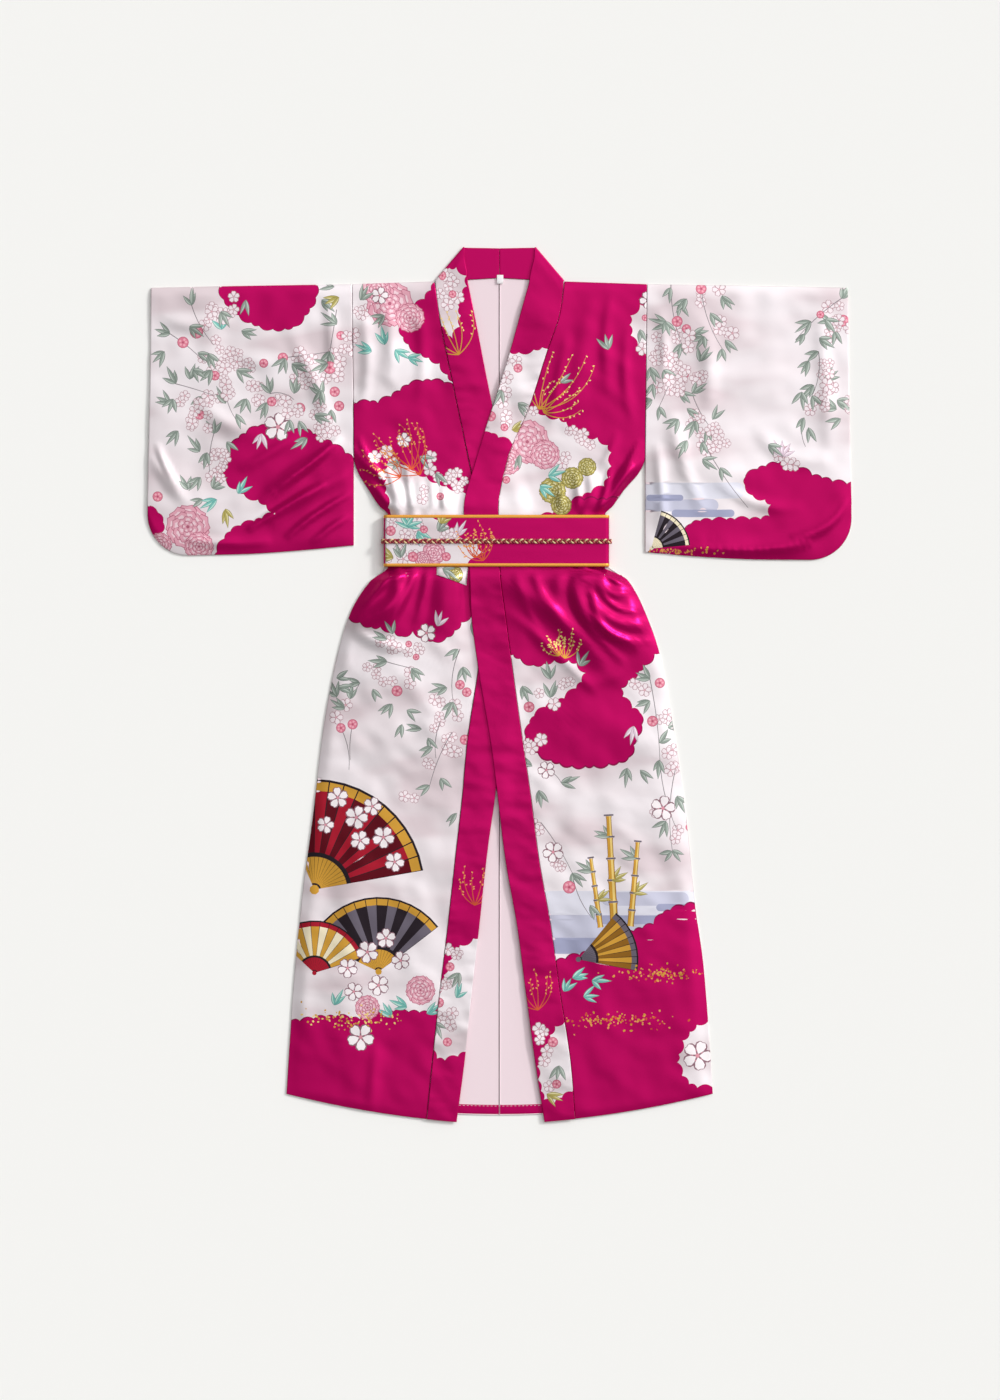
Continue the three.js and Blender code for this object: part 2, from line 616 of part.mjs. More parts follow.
place(robeGroup, "body_under", bodyPanel("left"), blush);
place(robeGroup, "body_over", bodyPanel("right"), satin);
place(robeGroup, "sleeve_left", sleevePanel("left", leftSleeveFolds), blush);
place(robeGroup, "sleeve_right", sleevePanel("right", rightSleeveFolds), blush);
place(robeGroup, "collar_under", bandHalf("left"), satin);
place(robeGroup, "collar_over", bandHalf("right"), satin);
place(robeGroup, "waist_tuck", tuckCorner(), blush);
place(robeGroup, "hanging_loop", hangingLoop(), white);
place(sashGroup, "sash", sashRing(sash.top - piping.width, sash.bottom + piping.width, 0), satin);
const pipingDepth = piping.width - cloth.gap;
place(sashGroup, "piping_top", sashRing(sash.top, sash.top - pipingDepth, piping.proud), gold);
place(sashGroup, "piping_bottom", sashRing(sash.bottom + pipingDepth, sash.bottom, piping.proud), gold);
place(sashGroup, "sash_braid", braidOnSash(), braided);

// The origin is the middle of the footprint, on the table.
const footprint = new THREE.Box3().setFromObject(garment, true);
const middle = footprint.getCenter(new THREE.Vector3());
garment.position.set(-middle.x, -middle.y, -footprint.min.z);

export default garment;
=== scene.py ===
import math
import random

import bpy
import numpy as np
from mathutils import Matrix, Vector
from mathutils.geometry import delaunay_2d_cdt


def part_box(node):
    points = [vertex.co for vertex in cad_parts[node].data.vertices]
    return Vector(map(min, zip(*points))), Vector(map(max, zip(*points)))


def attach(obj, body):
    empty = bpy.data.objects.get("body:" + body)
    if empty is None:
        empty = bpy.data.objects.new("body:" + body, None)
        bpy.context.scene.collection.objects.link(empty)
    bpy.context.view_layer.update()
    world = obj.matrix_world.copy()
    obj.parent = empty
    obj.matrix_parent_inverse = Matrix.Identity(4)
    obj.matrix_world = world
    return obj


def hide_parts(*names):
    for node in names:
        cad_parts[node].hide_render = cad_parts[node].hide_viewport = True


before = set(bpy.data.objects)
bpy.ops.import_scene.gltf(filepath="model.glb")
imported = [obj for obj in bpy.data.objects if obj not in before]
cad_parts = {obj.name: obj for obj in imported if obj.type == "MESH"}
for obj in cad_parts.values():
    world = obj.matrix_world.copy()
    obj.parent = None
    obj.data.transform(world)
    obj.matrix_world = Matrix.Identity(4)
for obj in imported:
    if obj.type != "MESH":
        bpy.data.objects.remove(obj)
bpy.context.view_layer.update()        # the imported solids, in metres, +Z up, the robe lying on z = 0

scene = bpy.context.scene
print("frame loaded:", len(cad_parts), "nodes")

# Sizes and places are in millimetres in the cutting frame: x is 0 at the centre back, y is 0 at the shoulder
# fold and falls towards the hem, z is the height above the table. cuttingPlace takes them to the frame.
loopBox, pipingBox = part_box("hanging_loop"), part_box("piping_top")
cuttingPlace = np.array([(loopBox[0].x + loopBox[1].x) * 500 - 1, pipingBox[1].y * 1000 + 378, 0.0])

garment = {
    "wall": 1.3, "gap": 0.3,          # one layer as the solids have it, and the space at a seam
    "cloth": 0.5,                     # thickness of the satin as it is drawn
    "hem": -1366, "backHem": -1351, "armpit": -290, "neck": 105.5,
    "shoulderWidth": 239.2, "armpitWidth": 236,
}
sash = {"left": -187.5, "right": 177.7, "top": -378, "bottom": -462, "wall": 2.4, "side": 17, "crown": 20,
        "corner": 6}
piping = {"width": 6, "proud": 0.4, "round": 1.5}
loose = {"rise": 2.2, "edge": 20, "fold": 16, "hem": 14, "hemShare": 0.35,
         "waistRise": 3.5, "waistEdge": 30, "waistReach": 70}
pleat = {"height": 2.2, "spacing": 27.6, "start": 104, "full": 136}
overlap = {"top": -120, "topFull": -190, "lowFull": -845, "low": -905, "reach": 34, "full": 4,
           "pressed": 0.28, "own": 0.6}
band = {"wall": 2.2, "gap": 0.3, "round": 1.1}
turnover = {"seamX": 105.5, "seamY": 2.4, "freeX": 58.5, "freeY": 57.5, "middleY": 55, "climbFrom": -115}
neckline = {"point": 1.3, "middle": 6.2}

sideSeams = {
    "y": [-290, -306, -338, -366, -376, -464, -474, -486, -538, -602, -713, -875, -1005, -1121, -1366],
    "left": [-236, -231, -212, -193, -181.5, -181.5, -196, -211, -243, -262, -284, -304, -321, -331, -345.5],
    "right": [236, 229, 202, 182, 171.5, 171.5, 197, 211, 238, 260, 281, 304, 317, 331, 346],
}
underBand = {
    "y": [1.3, -60, -158, -280, -378, -462, -550, -631, -751, -835, -918, -1063, -1175, -1266, -1366],
    "seam": [-105.5, -96.5, -77, -51.4, -31.6, -20.5, -25, -34.9, -52.9, -60.4, -69.8, -86, -99.3, -108.2,
             -118],
    "free": [-51.5, -39, -20, 5, 24, 34.5, 30, 20, 2, -7, -18.7, -34.6, -47, -56.4, -69.5],
}
overBand = {
    "y": [1.3, -47, -116, -202, -290, -370, -420, -477, -527, -628, -751, -826, -933, -1049, -1150, -1280,
          -1366],
    "seam": [105.5, 98.7, 76, 48.3, 12.2, -2, -1.5, 1.2, 7.6, 21.2, 38.5, 49.6, 63.5, 83.8, 97.4, 116, 122.5],
    "free": [48.5, 35, 15.9, -11.2, -38.5, -58, -55, -48, -46.5, -34.2, -13.8, -4.1, 8.9, 29.2, 42.2, 59.5,
             73],
}
cuffs = {"y": [2, -150, -290, -440], "cuff": [565, 566.5, 569.5, 572.5]}
sleeveEdges = {"x": [235, 330, 420, 573], "top": [-3.2, -4.6, -6, -9],
               "left": [-427, -436, -441.5, -444.5], "right": [-438, -446, -450, -451]}
sleeve = {"start": 235, "reach": 572.5, "corner": 70}

# The folds of the cloth, main forms first: a ridge through three points, its width, and its height at the middle
folds = {
    "under": [
        (-235, -273, -216, -296, -192, -318, 8, 4.5), (-212, -329, -189, -351, -172, -374, 8, 6),
        (-172, -318, -163, -343, -158, -368, 8, 5), (-132, -320, -127, -350, -129, -376, 11, 3.5),
        (-149, -463, -168, -480, -190, -494, 9, 5), (-163, -470, -172, -520, -226, -551, 12, 9),
        (-96, -462, -90, -515, -100, -585, 20, 5.5), (-262, -606, -180, -628, -62, -598, 30, 3.2),
        (-284, -760, -210, -742, -92, -700, 34, 2.6), (-228, -860, -236, -1040, -262, -1240, 36, 2.4),
    ],
    "over": [
        (231, -288, 202, -321, 168, -368, 10, 7), (144, -304, 150, -338, 146, -372, 10, 4.5),
        (147, -30, 138, -95, 122, -196, 18, 3), (162, -464, 176, -502, 212, -500, 8, 6.5),
        (146, -480, 172, -541, 240, -557, 10, 8), (139, -464, 140, -534, 219, -589, 11, 9.5),
        (12, -492, 84, -534, 166, -618, 15, 7.5), (98, -462, 97, -492, 92, -524, 13, 5),
        (92, -700, 180, -728, 282, -742, 36, 2.6), (206, -840, 226, -1020, 252, -1230, 36, 2.4),
    ],
    "sleeveLeft": [
        (-378, -350, -327, -306, -272, -270, 12, 6), (-364, -386, -308, -346, -240, -308, 11, 5),
        (-560, -292, -537, -322, -512, -352, 10, 3.5),
    ],
    "sleeveRight": [
        (330, -424, 470, -424, 556, -350, 15, 4.5), (262, -250, 330, -300, 420, -318, 26, 2.2),
    ],
}
fineFolds = {       # the creases between them
    "under": [
        (-226, -255, -214, -282, -196, -300, 5, 2.2), (-205, -300, -188, -322, -176, -346, 5, 2.6),
        (-186, -296, -174, -330, -168, -372, 5, 2.4), (-150, -300, -146, -338, -142, -374, 6, 2.2),
        (-112, -318, -108, -348, -110, -374, 6, 1.8), (-92, -338, -90, -358, -90, -374, 5, 1.6),
        (-176, -472, -196, -500, -216, -522, 5, 2.6), (-140, -466, -150, -506, -182, -566, 6, 3.0),
        (-118, -464, -122, -506, -136, -560, 7, 2.4), (-70, -464, -66, -498, -70, -548, 8, 2.2),
        (-238, -560, -200, -584, -150, -596, 8, 2.4), (-262, -690, -200, -668, -120, -662, 18, 1.1),
        (-160, -640, -120, -690, -100, -760, 18, 1.0), (-180, -820, -174, -900, -182, -1000, 22, 0.8),
        (-120, -900, -128, -1020, -146, -1180, 20, 0.7), (-300, -960, -306, -1060, -318, -1200, 20, 0.8),
        (-190, -40, -176, -90, -180, -150, 12, 1.6), (-220, -60, -214, -130, -222, -200, 10, 1.5),
        (-130, -60, -124, -120, -130, -190, 11, 1.3), (-200, -1240, -204, -1290, -210, -1350, 9, 1.2),
    ],
    "over": [
        (226, -262, 208, -296, 184, -330, 5, 2.6), (214, -300, 190, -338, 164, -372, 5, 2.8),
        (180, -300, 172, -338, 160, -374, 5, 2.4), (124, -312, 128, -344, 124, -374, 6, 2.2),
        (98, -330, 100, -352, 98, -374, 6, 1.8), (190, -250, 178, -280, 164, -300, 7, 1.6),
        (170, -470, 190, -486, 214, -490, 4, 2.2), (152, -466, 178, -520, 232, -534, 5, 3.0),
        (150, -480, 168, -560, 238, -582, 6, 3.2), (128, -466, 128, -530, 196, -612, 7, 2.8),
        (60, -466, 66, -500, 110, -560, 8, 2.4), (30, -470, 34, -500, 60, -560, 8, 2.0),
        (20, -540, 80, -590, 150, -660, 9, 2.2), (230, -600, 180, -640, 120, -650, 12, 1.8),
        (120, -800, 126, -900, 140, -1000, 22, 0.8), (240, -760, 256, -860, 270, -960, 22, 0.9),
        (160, -1080, 172, -1180, 186, -1300, 20, 0.8), (300, -1040, 306, -1140, 314, -1260, 18, 0.8),
        (180, -30, 172, -90, 176, -170, 10, 1.6), (208, -80, 204, -150, 214, -220, 9, 1.5),
        (110, -90, 96, -160, 84, -230, 9, 1.3),
    ],
    "sleeveLeft": [
        (-402, -398, -350, -366, -288, -330, 6, 3.2), (-340, -410, -296, -376, -244, -344, 6, 3.0),
        (-352, -330, -306, -296, -262, -256, 6, 2.6), (-300, -420, -270, -396, -242, -380, 6, 2.2),
        (-412, -300, -370, -276, -330, -250, 9, 1.8), (-552, -270, -540, -300, -522, -330, 6, 1.8),
        (-540, -60, -500, -70, -440, -66, 12, 1.4), (-330, -100, -300, -160, -280, -220, 12, 1.6),
        (-480, -200, -440, -230, -400, -240, 14, 1.4), (-500, -418, -440, -424, -380, -420, 7, 1.8),
        (-280, -30, -272, -90, -276, -150, 9, 1.3), (-420, -120, -380, -130, -330, -120, 13, 1.3),
    ],
    "sleeveRight": [
        (300, -432, 400, -436, 500, -424, 6, 2.4), (480, -414, 530, -396, 560, -360, 7, 2.2),
        (256, -270, 262, -330, 264, -400, 8, 1.8), (280, -220, 300, -300, 330, -370, 12, 1.6),
        (330, -60, 340, -140, 336, -230, 14, 1.4), (520, -60, 528, -160, 534, -260, 12, 1.4),
        (420, -240, 460, -280, 520, -290, 14, 1.3), (360, -330, 420, -360, 480, -366, 10, 1.5),
        (262, -60, 268, -120, 262, -180, 8, 1.3),
    ],
}
# Where the cloth stands full beside the sash and over the chest: x, y, half width, half length, height
fullness = [(-186, -530, 55, 60, 11), (184, -536, 58, 66, 12), (-92, -505, 52, 52, 5),
            (72, -505, 60, 56, 5.5),
            (72, -40, 40, 70, 4.5), (-72, -40, 40, 70, 3)]


def smoothstep(start, end, value):
    t = np.clip((value - start) / (end - start), 0, 1)
    return t * t * (3 - 2 * t)


def mix(a, b, t):
    return a + (b - a) * t


def through(at, value):
    # a smooth curve through a table's column, with no overshoot between its rows
    order = np.argsort(at)
    a, v = np.array(at, float)[order], np.array(value, float)[order]
    slope = np.diff(v) / np.diff(a)
    before, after = np.insert(slope, 0, slope[0]), np.append(slope, slope[-1])
    same = before * after > 0
    tangent = np.where(same, 2 * before * after / np.where(same, before + after, 1), 0)

    def curve(place):
        p = np.clip(place, a[0], a[-1])
        i = np.clip(np.searchsorted(a, p, side="right") - 1, 0, len(a) - 2)
        step = a[i + 1] - a[i]
        t = (p - a[i]) / step
        lean = (1 - t) ** 2 * t * tangent[i] - t ** 2 * (1 - t) * tangent[i + 1]
        return v[i] + (v[i + 1] - v[i]) * t * t * (3 - 2 * t) + step * lean
    return curve


signOf = {"under": -1, "over": 1}
seamBelowArm = {"under": through(sideSeams["y"], sideSeams["left"]),
                "over": through(sideSeams["y"], sideSeams["right"])}
bandSeam = {"under": through(underBand["y"], underBand["seam"]),
            "over": through(overBand["y"], overBand["seam"])}
bandFree = {"under": through(underBand["y"], underBand["free"]),
            "over": through(overBand["y"], overBand["free"])}
cuffAt = through(cuffs["y"], cuffs["cuff"])
sleeveTop = through(sleeveEdges["x"], sleeveEdges["top"])


def armhole(y):
    return mix(garment["shoulderWidth"], garment["armpitWidth"], np.clip(y / garment["armpit"], 0, 1))


def sideSeam(side, y):
    return np.where(y > garment["armpit"], signOf[side] * armhole(y), seamBelowArm[side](y))


def shoulder(x):
    share = np.clip((np.abs(x) - garment["neck"]) / (garment["shoulderWidth"] - garment["neck"]), 0, 1)
    return mix(neckline["point"], sleeveEdges["top"][0], share)


# The hems lean and bow upwards from the middle, and a panel's levels follow them from here down
hemCurve = {"lean": 0.036, "bow": 0.00031, "backBow": 0.0003, "from": -1000}


def frontHem(x):
    return garment["hem"] + hemCurve["lean"] * np.abs(x) + hemCurve["bow"] * x * x


def backHem(x):
    return garment["backHem"] + hemCurve["backBow"] * x * x


def hung(x, level, hem, middle):
    return level + (hem(x) - middle) * smoothstep(hemCurve["from"], middle, level)


def levelOf(x, y, hem, middle):
    # the other way round: which level of the panel passes through a point
    level = y + 0.0
    for _ in range(6):
        level = y - (hem(x) - middle) * smoothstep(hemCurve["from"], middle, level)
    return level


def rolled(distance, width):
    return np.sin(np.pi / 2 * np.clip(distance / width, 0, 1))


def inSash(y):
    above = smoothstep(sash["top"] + 18, sash["top"] + 2, y)
    return above * smoothstep(sash["bottom"] - 18, sash["bottom"] - 2, y)


def nearSash(y):
    away = np.maximum(0, np.maximum(y - sash["top"], sash["bottom"] - y))
    return np.exp(-(away / loose["waistReach"]) ** 2)


def softNoise(x, y, size, seed):
    # smooth unevenness from -1 to 1, whose lumps are about size across
    table = np.random.default_rng(seed).uniform(-1, 1, (64, 64))
    gx, gy = x / size, y / size
    ix, iy = np.floor(gx).astype(int), np.floor(gy).astype(int)
    fx, fy = gx - ix, gy - iy
    fx, fy = fx * fx * (3 - 2 * fx), fy * fy * (3 - 2 * fy)
    corner = [[table[(ix + i) % 64, (iy + j) % 64] for j in (0, 1)] for i in (0, 1)]
    low = mix(corner[0][0], corner[1][0], fx)
    return mix(low, mix(corner[0][1], corner[1][1], fx), fy)


def ridges(rows, x, y):
    total = np.zeros_like(x)
    for x0, y0, x1, y1, x2, y2, width, height in rows:
        pullX, pullY = 2 * x1 - (x0 + x2) / 2, 2 * y1 - (y0 + y2) / 2
        reach = 3 * width
        near = ((x > min(x0, x1, x2) - reach) & (x < max(x0, x1, x2) + reach)
                & (y > min(y0, y1, y2) - reach) & (y < max(y0, y1, y2) + reach))
        if not near.any():
            continue
        px, py = x[near], y[near]
        nearest, share = np.full(px.shape, 1e9), np.zeros_like(px)
        for t in np.linspace(0, 1, 25):
            lineX = mix(mix(x0, pullX, t), mix(pullX, x2, t), t)
            lineY = mix(mix(y0, pullY, t), mix(pullY, y2, t), t)
            away = np.hypot(px - lineX, py - lineY)
            share = np.where(away < nearest, t, share)
            nearest = np.minimum(away, nearest)
        total[near] += height * (0.35 + 0.65 * np.sin(np.pi * share)) * np.exp(-(nearest / width) ** 2)
    return total


def puckers(along, away, spacing, height, reach, seed):
    # the short gathers that a seam's stitching leaves beside it
    still = np.zeros_like(along)
    wave = np.sin(2 * np.pi * along / spacing + 2.2 * softNoise(along, still, spacing * 2.3, seed))
    uneven = 0.45 + 0.55 * softNoise(along, still, spacing * 5, seed + 1)
    return height * wave * uneven * np.exp(-np.abs(away) / reach)


# Heights of the body's layers above the table
sashBack = {"height": 3.1, "far": 55, "full": 5}


def backUnder(y):
    above = smoothstep(sash["top"] + sashBack["far"], sash["top"] + sashBack["full"], y)
    below = smoothstep(sash["bottom"] - sashBack["far"], sash["bottom"] - sashBack["full"], y)
    return sashBack["height"] * above * below


def edgeShare(side, x, y):
    belowArm = smoothstep(garment["armpit"] + 28, garment["armpit"] - 28, y)
    width = mix(loose["edge"], loose["waistEdge"], nearSash(y))
    seam = 1 - belowArm * (1 - rolled(np.abs(sideSeam(side, y) - x), width))
    hem = mix(loose["hemShare"], 1, rolled(y - frontHem(x), loose["hem"]))
    return seam * hem * rolled(shoulder(x) - y, loose["fold"])


def rise(side, x, y):
    free = ridges(folds[side], x, y) + 1.7 * ridges(fineFolds[side], x, y)
    for fx, fy, wide, long, height in fullness:
        free = free + height * np.exp(-((x - fx) / wide) ** 2 - ((y - fy) / long) ** 2)
    wave = 0.5 + 0.5 * np.cos(2 * np.pi * x / pleat["spacing"])
    pleats = pleat["height"] * wave * nearSash(y) ** 4 * smoothstep(pleat["start"], pleat["full"], np.abs(x))
    seed = 3 if side == "under" else 8
    uneven = 1.2 * softNoise(x, y * 0.7, 58, seed) + 0.75 * softNoise(x + y * 0.3, y, 24, seed + 1)
    height = loose["rise"] + loose["waistRise"] * nearSash(y) + (free + uneven) * (1 - inSash(y)) + pleats
    return height * edgeShare(side, x, y)


def underLow(x, y):
    past = x - bandFree["over"](y)
    level = smoothstep(overlap["top"], overlap["topFull"], y) * smoothstep(overlap["low"],
                                                                           overlap["lowFull"], y)
    covered = smoothstep(-overlap["reach"], 0, past) * level
    pressed = rise("under", x, y) * mix(1, overlap["pressed"], covered)
    return backUnder(y) + garment["wall"] + garment["gap"] + pressed


def overLow(x, y):
    past = x - bandFree["under"](y)
    level = smoothstep(overlap["top"], overlap["topFull"], y) * smoothstep(overlap["low"],
                                                                           overlap["lowFull"], y)
    lifted = smoothstep(overlap["reach"], overlap["full"], past) * level
    support = band["wall"] + band["gap"] + rise("under", x, y) * overlap["pressed"]
    own = rise("over", x, y) * mix(1, overlap["own"], lifted)
    return backUnder(y) + garment["wall"] + garment["gap"] + lifted * support + own


lowOf = {"under": underLow, "over": overLow}


def bandLow(side, x, y):
    # the stiffened band ripples a little across its width where its long seams draw it up
    seed = 21 if side == "under" else 24
    ripples = 1.05 + 0.8 * softNoise(x * 0.35, y, 15, seed) + 0.25 * softNoise(x * 0.6, y, 7, seed + 1)
    carried = mix(lowOf[side](x, np.minimum(y, -6)), band["wall"] + band["gap"], smoothstep(-70, -4, y))
    return ripples * (1 - inSash(y)) + carried


# A sheet is a grid of places on its outer face over a flat pattern (u, v). The print is cut into it, and its
# reverse lies one cloth thickness inside.
lipAngles = np.radians([90, 68, 45, 22, 0])
lipIn, lipDrop = 1 - np.sin(lipAngles), 1 - np.cos(lipAngles)


def spaced(start, end, step):
    return np.linspace(start, end, max(2, int(round(abs(end - start) / step)) + 1))


def gridNormals(at, flip):
    along, across = np.gradient(at, axis=0), np.gradient(at, axis=1)
    normal = np.cross(across, along)
    length = np.linalg.norm(normal, axis=2, keepdims=True)
    return normal / np.maximum(length, 1e-9) * (-1 if flip else 1)


def onGrid(sheet, u, v, field):
    c = np.clip(np.searchsorted(sheet["u"], u, side="right") - 1, 0, len(sheet["u"]) - 2)
    r = np.clip(np.searchsorted(sheet["v"], v, side="right") - 1, 0, len(sheet["v"]) - 2)
    s = ((u - sheet["u"][c]) / (sheet["u"][c + 1] - sheet["u"][c]))[:, None]
    t = ((v - sheet["v"][r]) / (sheet["v"][r + 1] - sheet["v"][r]))[:, None]
    f = sheet[field]
    return mix(mix(f[r, c], f[r, c + 1], s), mix(f[r + 1, c], f[r + 1, c + 1], s), t)


def clipped(points, low, high):
    # a long outline is cut back to just outside a tile
    for axis in (0, 1):
        for limit, sign in ((low[axis], 1), (high[axis], -1)):
            kept = []
            for k, p in enumerate(points):
                q = points[k - 1]
                inP, inQ = (p[axis] - limit) * sign >= 0, (q[axis] - limit) * sign >= 0
                if inP != inQ:
                    s = (limit - q[axis]) / (p[axis] - q[axis])
                    kept.append((q[0] + (p[0] - q[0]) * s, q[1] + (p[1] - q[1]) * s))
                if inP:
                    kept.append(p)
            points = kept
            if len(points) < 3:
                return []
    return points


def within(places, outline):
    # which places an outline runs round, by counting the edges to one side
    x, y = places[:, 0][:, None], places[:, 1][:, None]
    a = np.array(outline)
    b = np.roll(a, -1, axis=0)
    up = np.where(b[:, 1] == a[:, 1], 1e-12, b[:, 1] - a[:, 1])
    passed = (a[:, 1] > y) != (b[:, 1] > y)
    turns = (passed & (x < a[:, 0] + (y - a[:, 1]) * (b[:, 0] - a[:, 0]) / up)) * np.sign(up)
    return turns.sum(axis=1) != 0


tile = {"cells": 9, "margin": 4.0, "merge": 1e-3}


def borders(values, fixed):
    # every ninth grid line is a tile's border, and so is each line that the outline turns at
    last = len(values) - 1
    return [k for k, value in enumerate(values) if k % tile["cells"] == 0 or k == last or value in fixed]


def cutPrint(sheet, marks):
    # the print's outlines are cut into the sheet tile by tile, and the uppermost mark gives a face its ink
    u, v = sheet["u"], sheet["v"]
    step = tile["merge"]
    index, points, triangles, inked, clouded = {}, [], [], [], []
    boxes = np.array([[m["low"][0], m["low"][1], m["high"][0], m["high"][1]] for m in marks]).reshape(-1, 4)
    cornersU = {p[0] for outline in sheet["outlines"] for p in outline}
    cornersV = {p[1] for outline in sheet["outlines"] for p in outline}
    linesU, linesV = borders(u, cornersU), borders(v, cornersV)

    def numbered(x, y, nearBorder):
        a, b = int(round(x / step)), int(round(y / step))
        if (a, b) in index:
            return index[a, b]
        if nearBorder:
            for da in (-1, 0, 1):
                for db in (-1, 0, 1):
                    if (a + da, b + db) in index:
                        return index[a + da, b + db]
        index[a, b] = len(points)
        points.append((x, y))
        return index[a, b]

    ground = sheet.get("ground", 0.0)
    for j0, j1 in zip(linesV[:-1], linesV[1:]):
        for i0, i1 in zip(linesU[:-1], linesU[1:]):
            if not sheet["kept"][j0:j1 + 1, i0:i1 + 1].all():
                continue
            low, high = (u[i0], v[j0]), (u[i1], v[j1])
            near = np.flatnonzero((boxes[:, 0] <= high[0]) & (boxes[:, 2] >= low[0])
                                  & (boxes[:, 1] <= high[1]) & (boxes[:, 3] >= low[1])) if len(marks) else []
            if not len(near):
                rows = [[numbered(a, b, True) for a in u[i0:i1 + 1]] for b in v[j0:j1 + 1]]
                for j in range(len(rows) - 1):
                    for i in range(len(rows[0]) - 1):
                        a, b, c, d = rows[j][i], rows[j][i + 1], rows[j + 1][i + 1], rows[j + 1][i]
                        triangles += [(a, b, c), (a, c, d)]
                        inked += [-1, -1]
                        clouded += [ground, ground]
                continue
            verts = [Vector((a, b)) for b in v[j0:j1 + 1] for a in u[i0:i1 + 1]]
            faces = [list(range(len(verts), len(verts) + 4))]
            verts += [Vector(p) for p in (low, (high[0], low[1]), high, (low[0], high[1]))]
            kept, outer = [], tile["margin"]
            for k in near:
                shape = marks[k]["place"]
                if len(shape) > 24:
                    shape = clipped(shape, (low[0] - outer, low[1] - outer),
                                    (high[0] + outer, high[1] + outer))
                if len(shape) < 3:
                    continue
                faces.append(list(range(len(verts), len(verts) + len(shape))))
                verts += [Vector(p) for p in shape]
                kept.append(k)
            flat, _, cut, _, _, _ = delaunay_2d_cdt(verts, [], faces, 0, 1e-5)
            name = {}
            middles = np.array([[sum(flat[k][axis] for k in face) / 3 for axis in (0, 1)] for face in cut])
            covers = {k: within(middles, marks[k]["place"]) for k in kept}
            for n, face in enumerate(cut):
                if not (low[0] < middles[n, 0] < high[0] and low[1] < middles[n, 1] < high[1]):
                    continue
                corners = []
                for k in face:
                    if k not in name:
                        x, y = flat[k]
                        border = min(abs(x - low[0]), abs(x - high[0]), abs(y - low[1]),
                                     abs(y - high[1])) < step
                        name[k] = numbered(x, y, border)
                    corners.append(name[k])
                if len(set(corners)) < 3:
                    continue
                triangles.append(tuple(corners))
                over = [k for k in kept if covers[k][n]]
                inked.append(max(over) if over else -1)
                cloudy = [k for k in over if marks[k]["ink"] is None]
                clouded.append(marks[max(cloudy)]["cloud"] if cloudy else ground)
    return np.array(points), np.array(triangles), np.array(inked), np.array(clouded, float)


def onOutline(sheet, flat):
    near = np.zeros(len(flat), bool)
    for outline in sheet["outlines"]:
        for (x0, y0), (x1, y1) in zip(outline, outline[1:] + outline[:1]):
            along = (flat[:, 0] >= min(x0, x1) - 1e-3) & (flat[:, 0] <= max(x0, x1) + 1e-3)
            along &= (flat[:, 1] >= min(y0, y1) - 1e-3) & (flat[:, 1] <= max(y0, y1) + 1e-3)
            near |= along
    return near


def rimOf(triangles, count, flat, sheet):
    edges = np.concatenate([triangles[:, [0, 1]], triangles[:, [1, 2]], triangles[:, [2, 0]]])
    keys, back = edges[:, 0] * count + edges[:, 1], edges[:, 1] * count + edges[:, 0]
    rim = edges[~np.isin(keys, back)]
    onEdge = onOutline(sheet, flat)
    return rim[onEdge[rim[:, 0]] & onEdge[rim[:, 1]]]


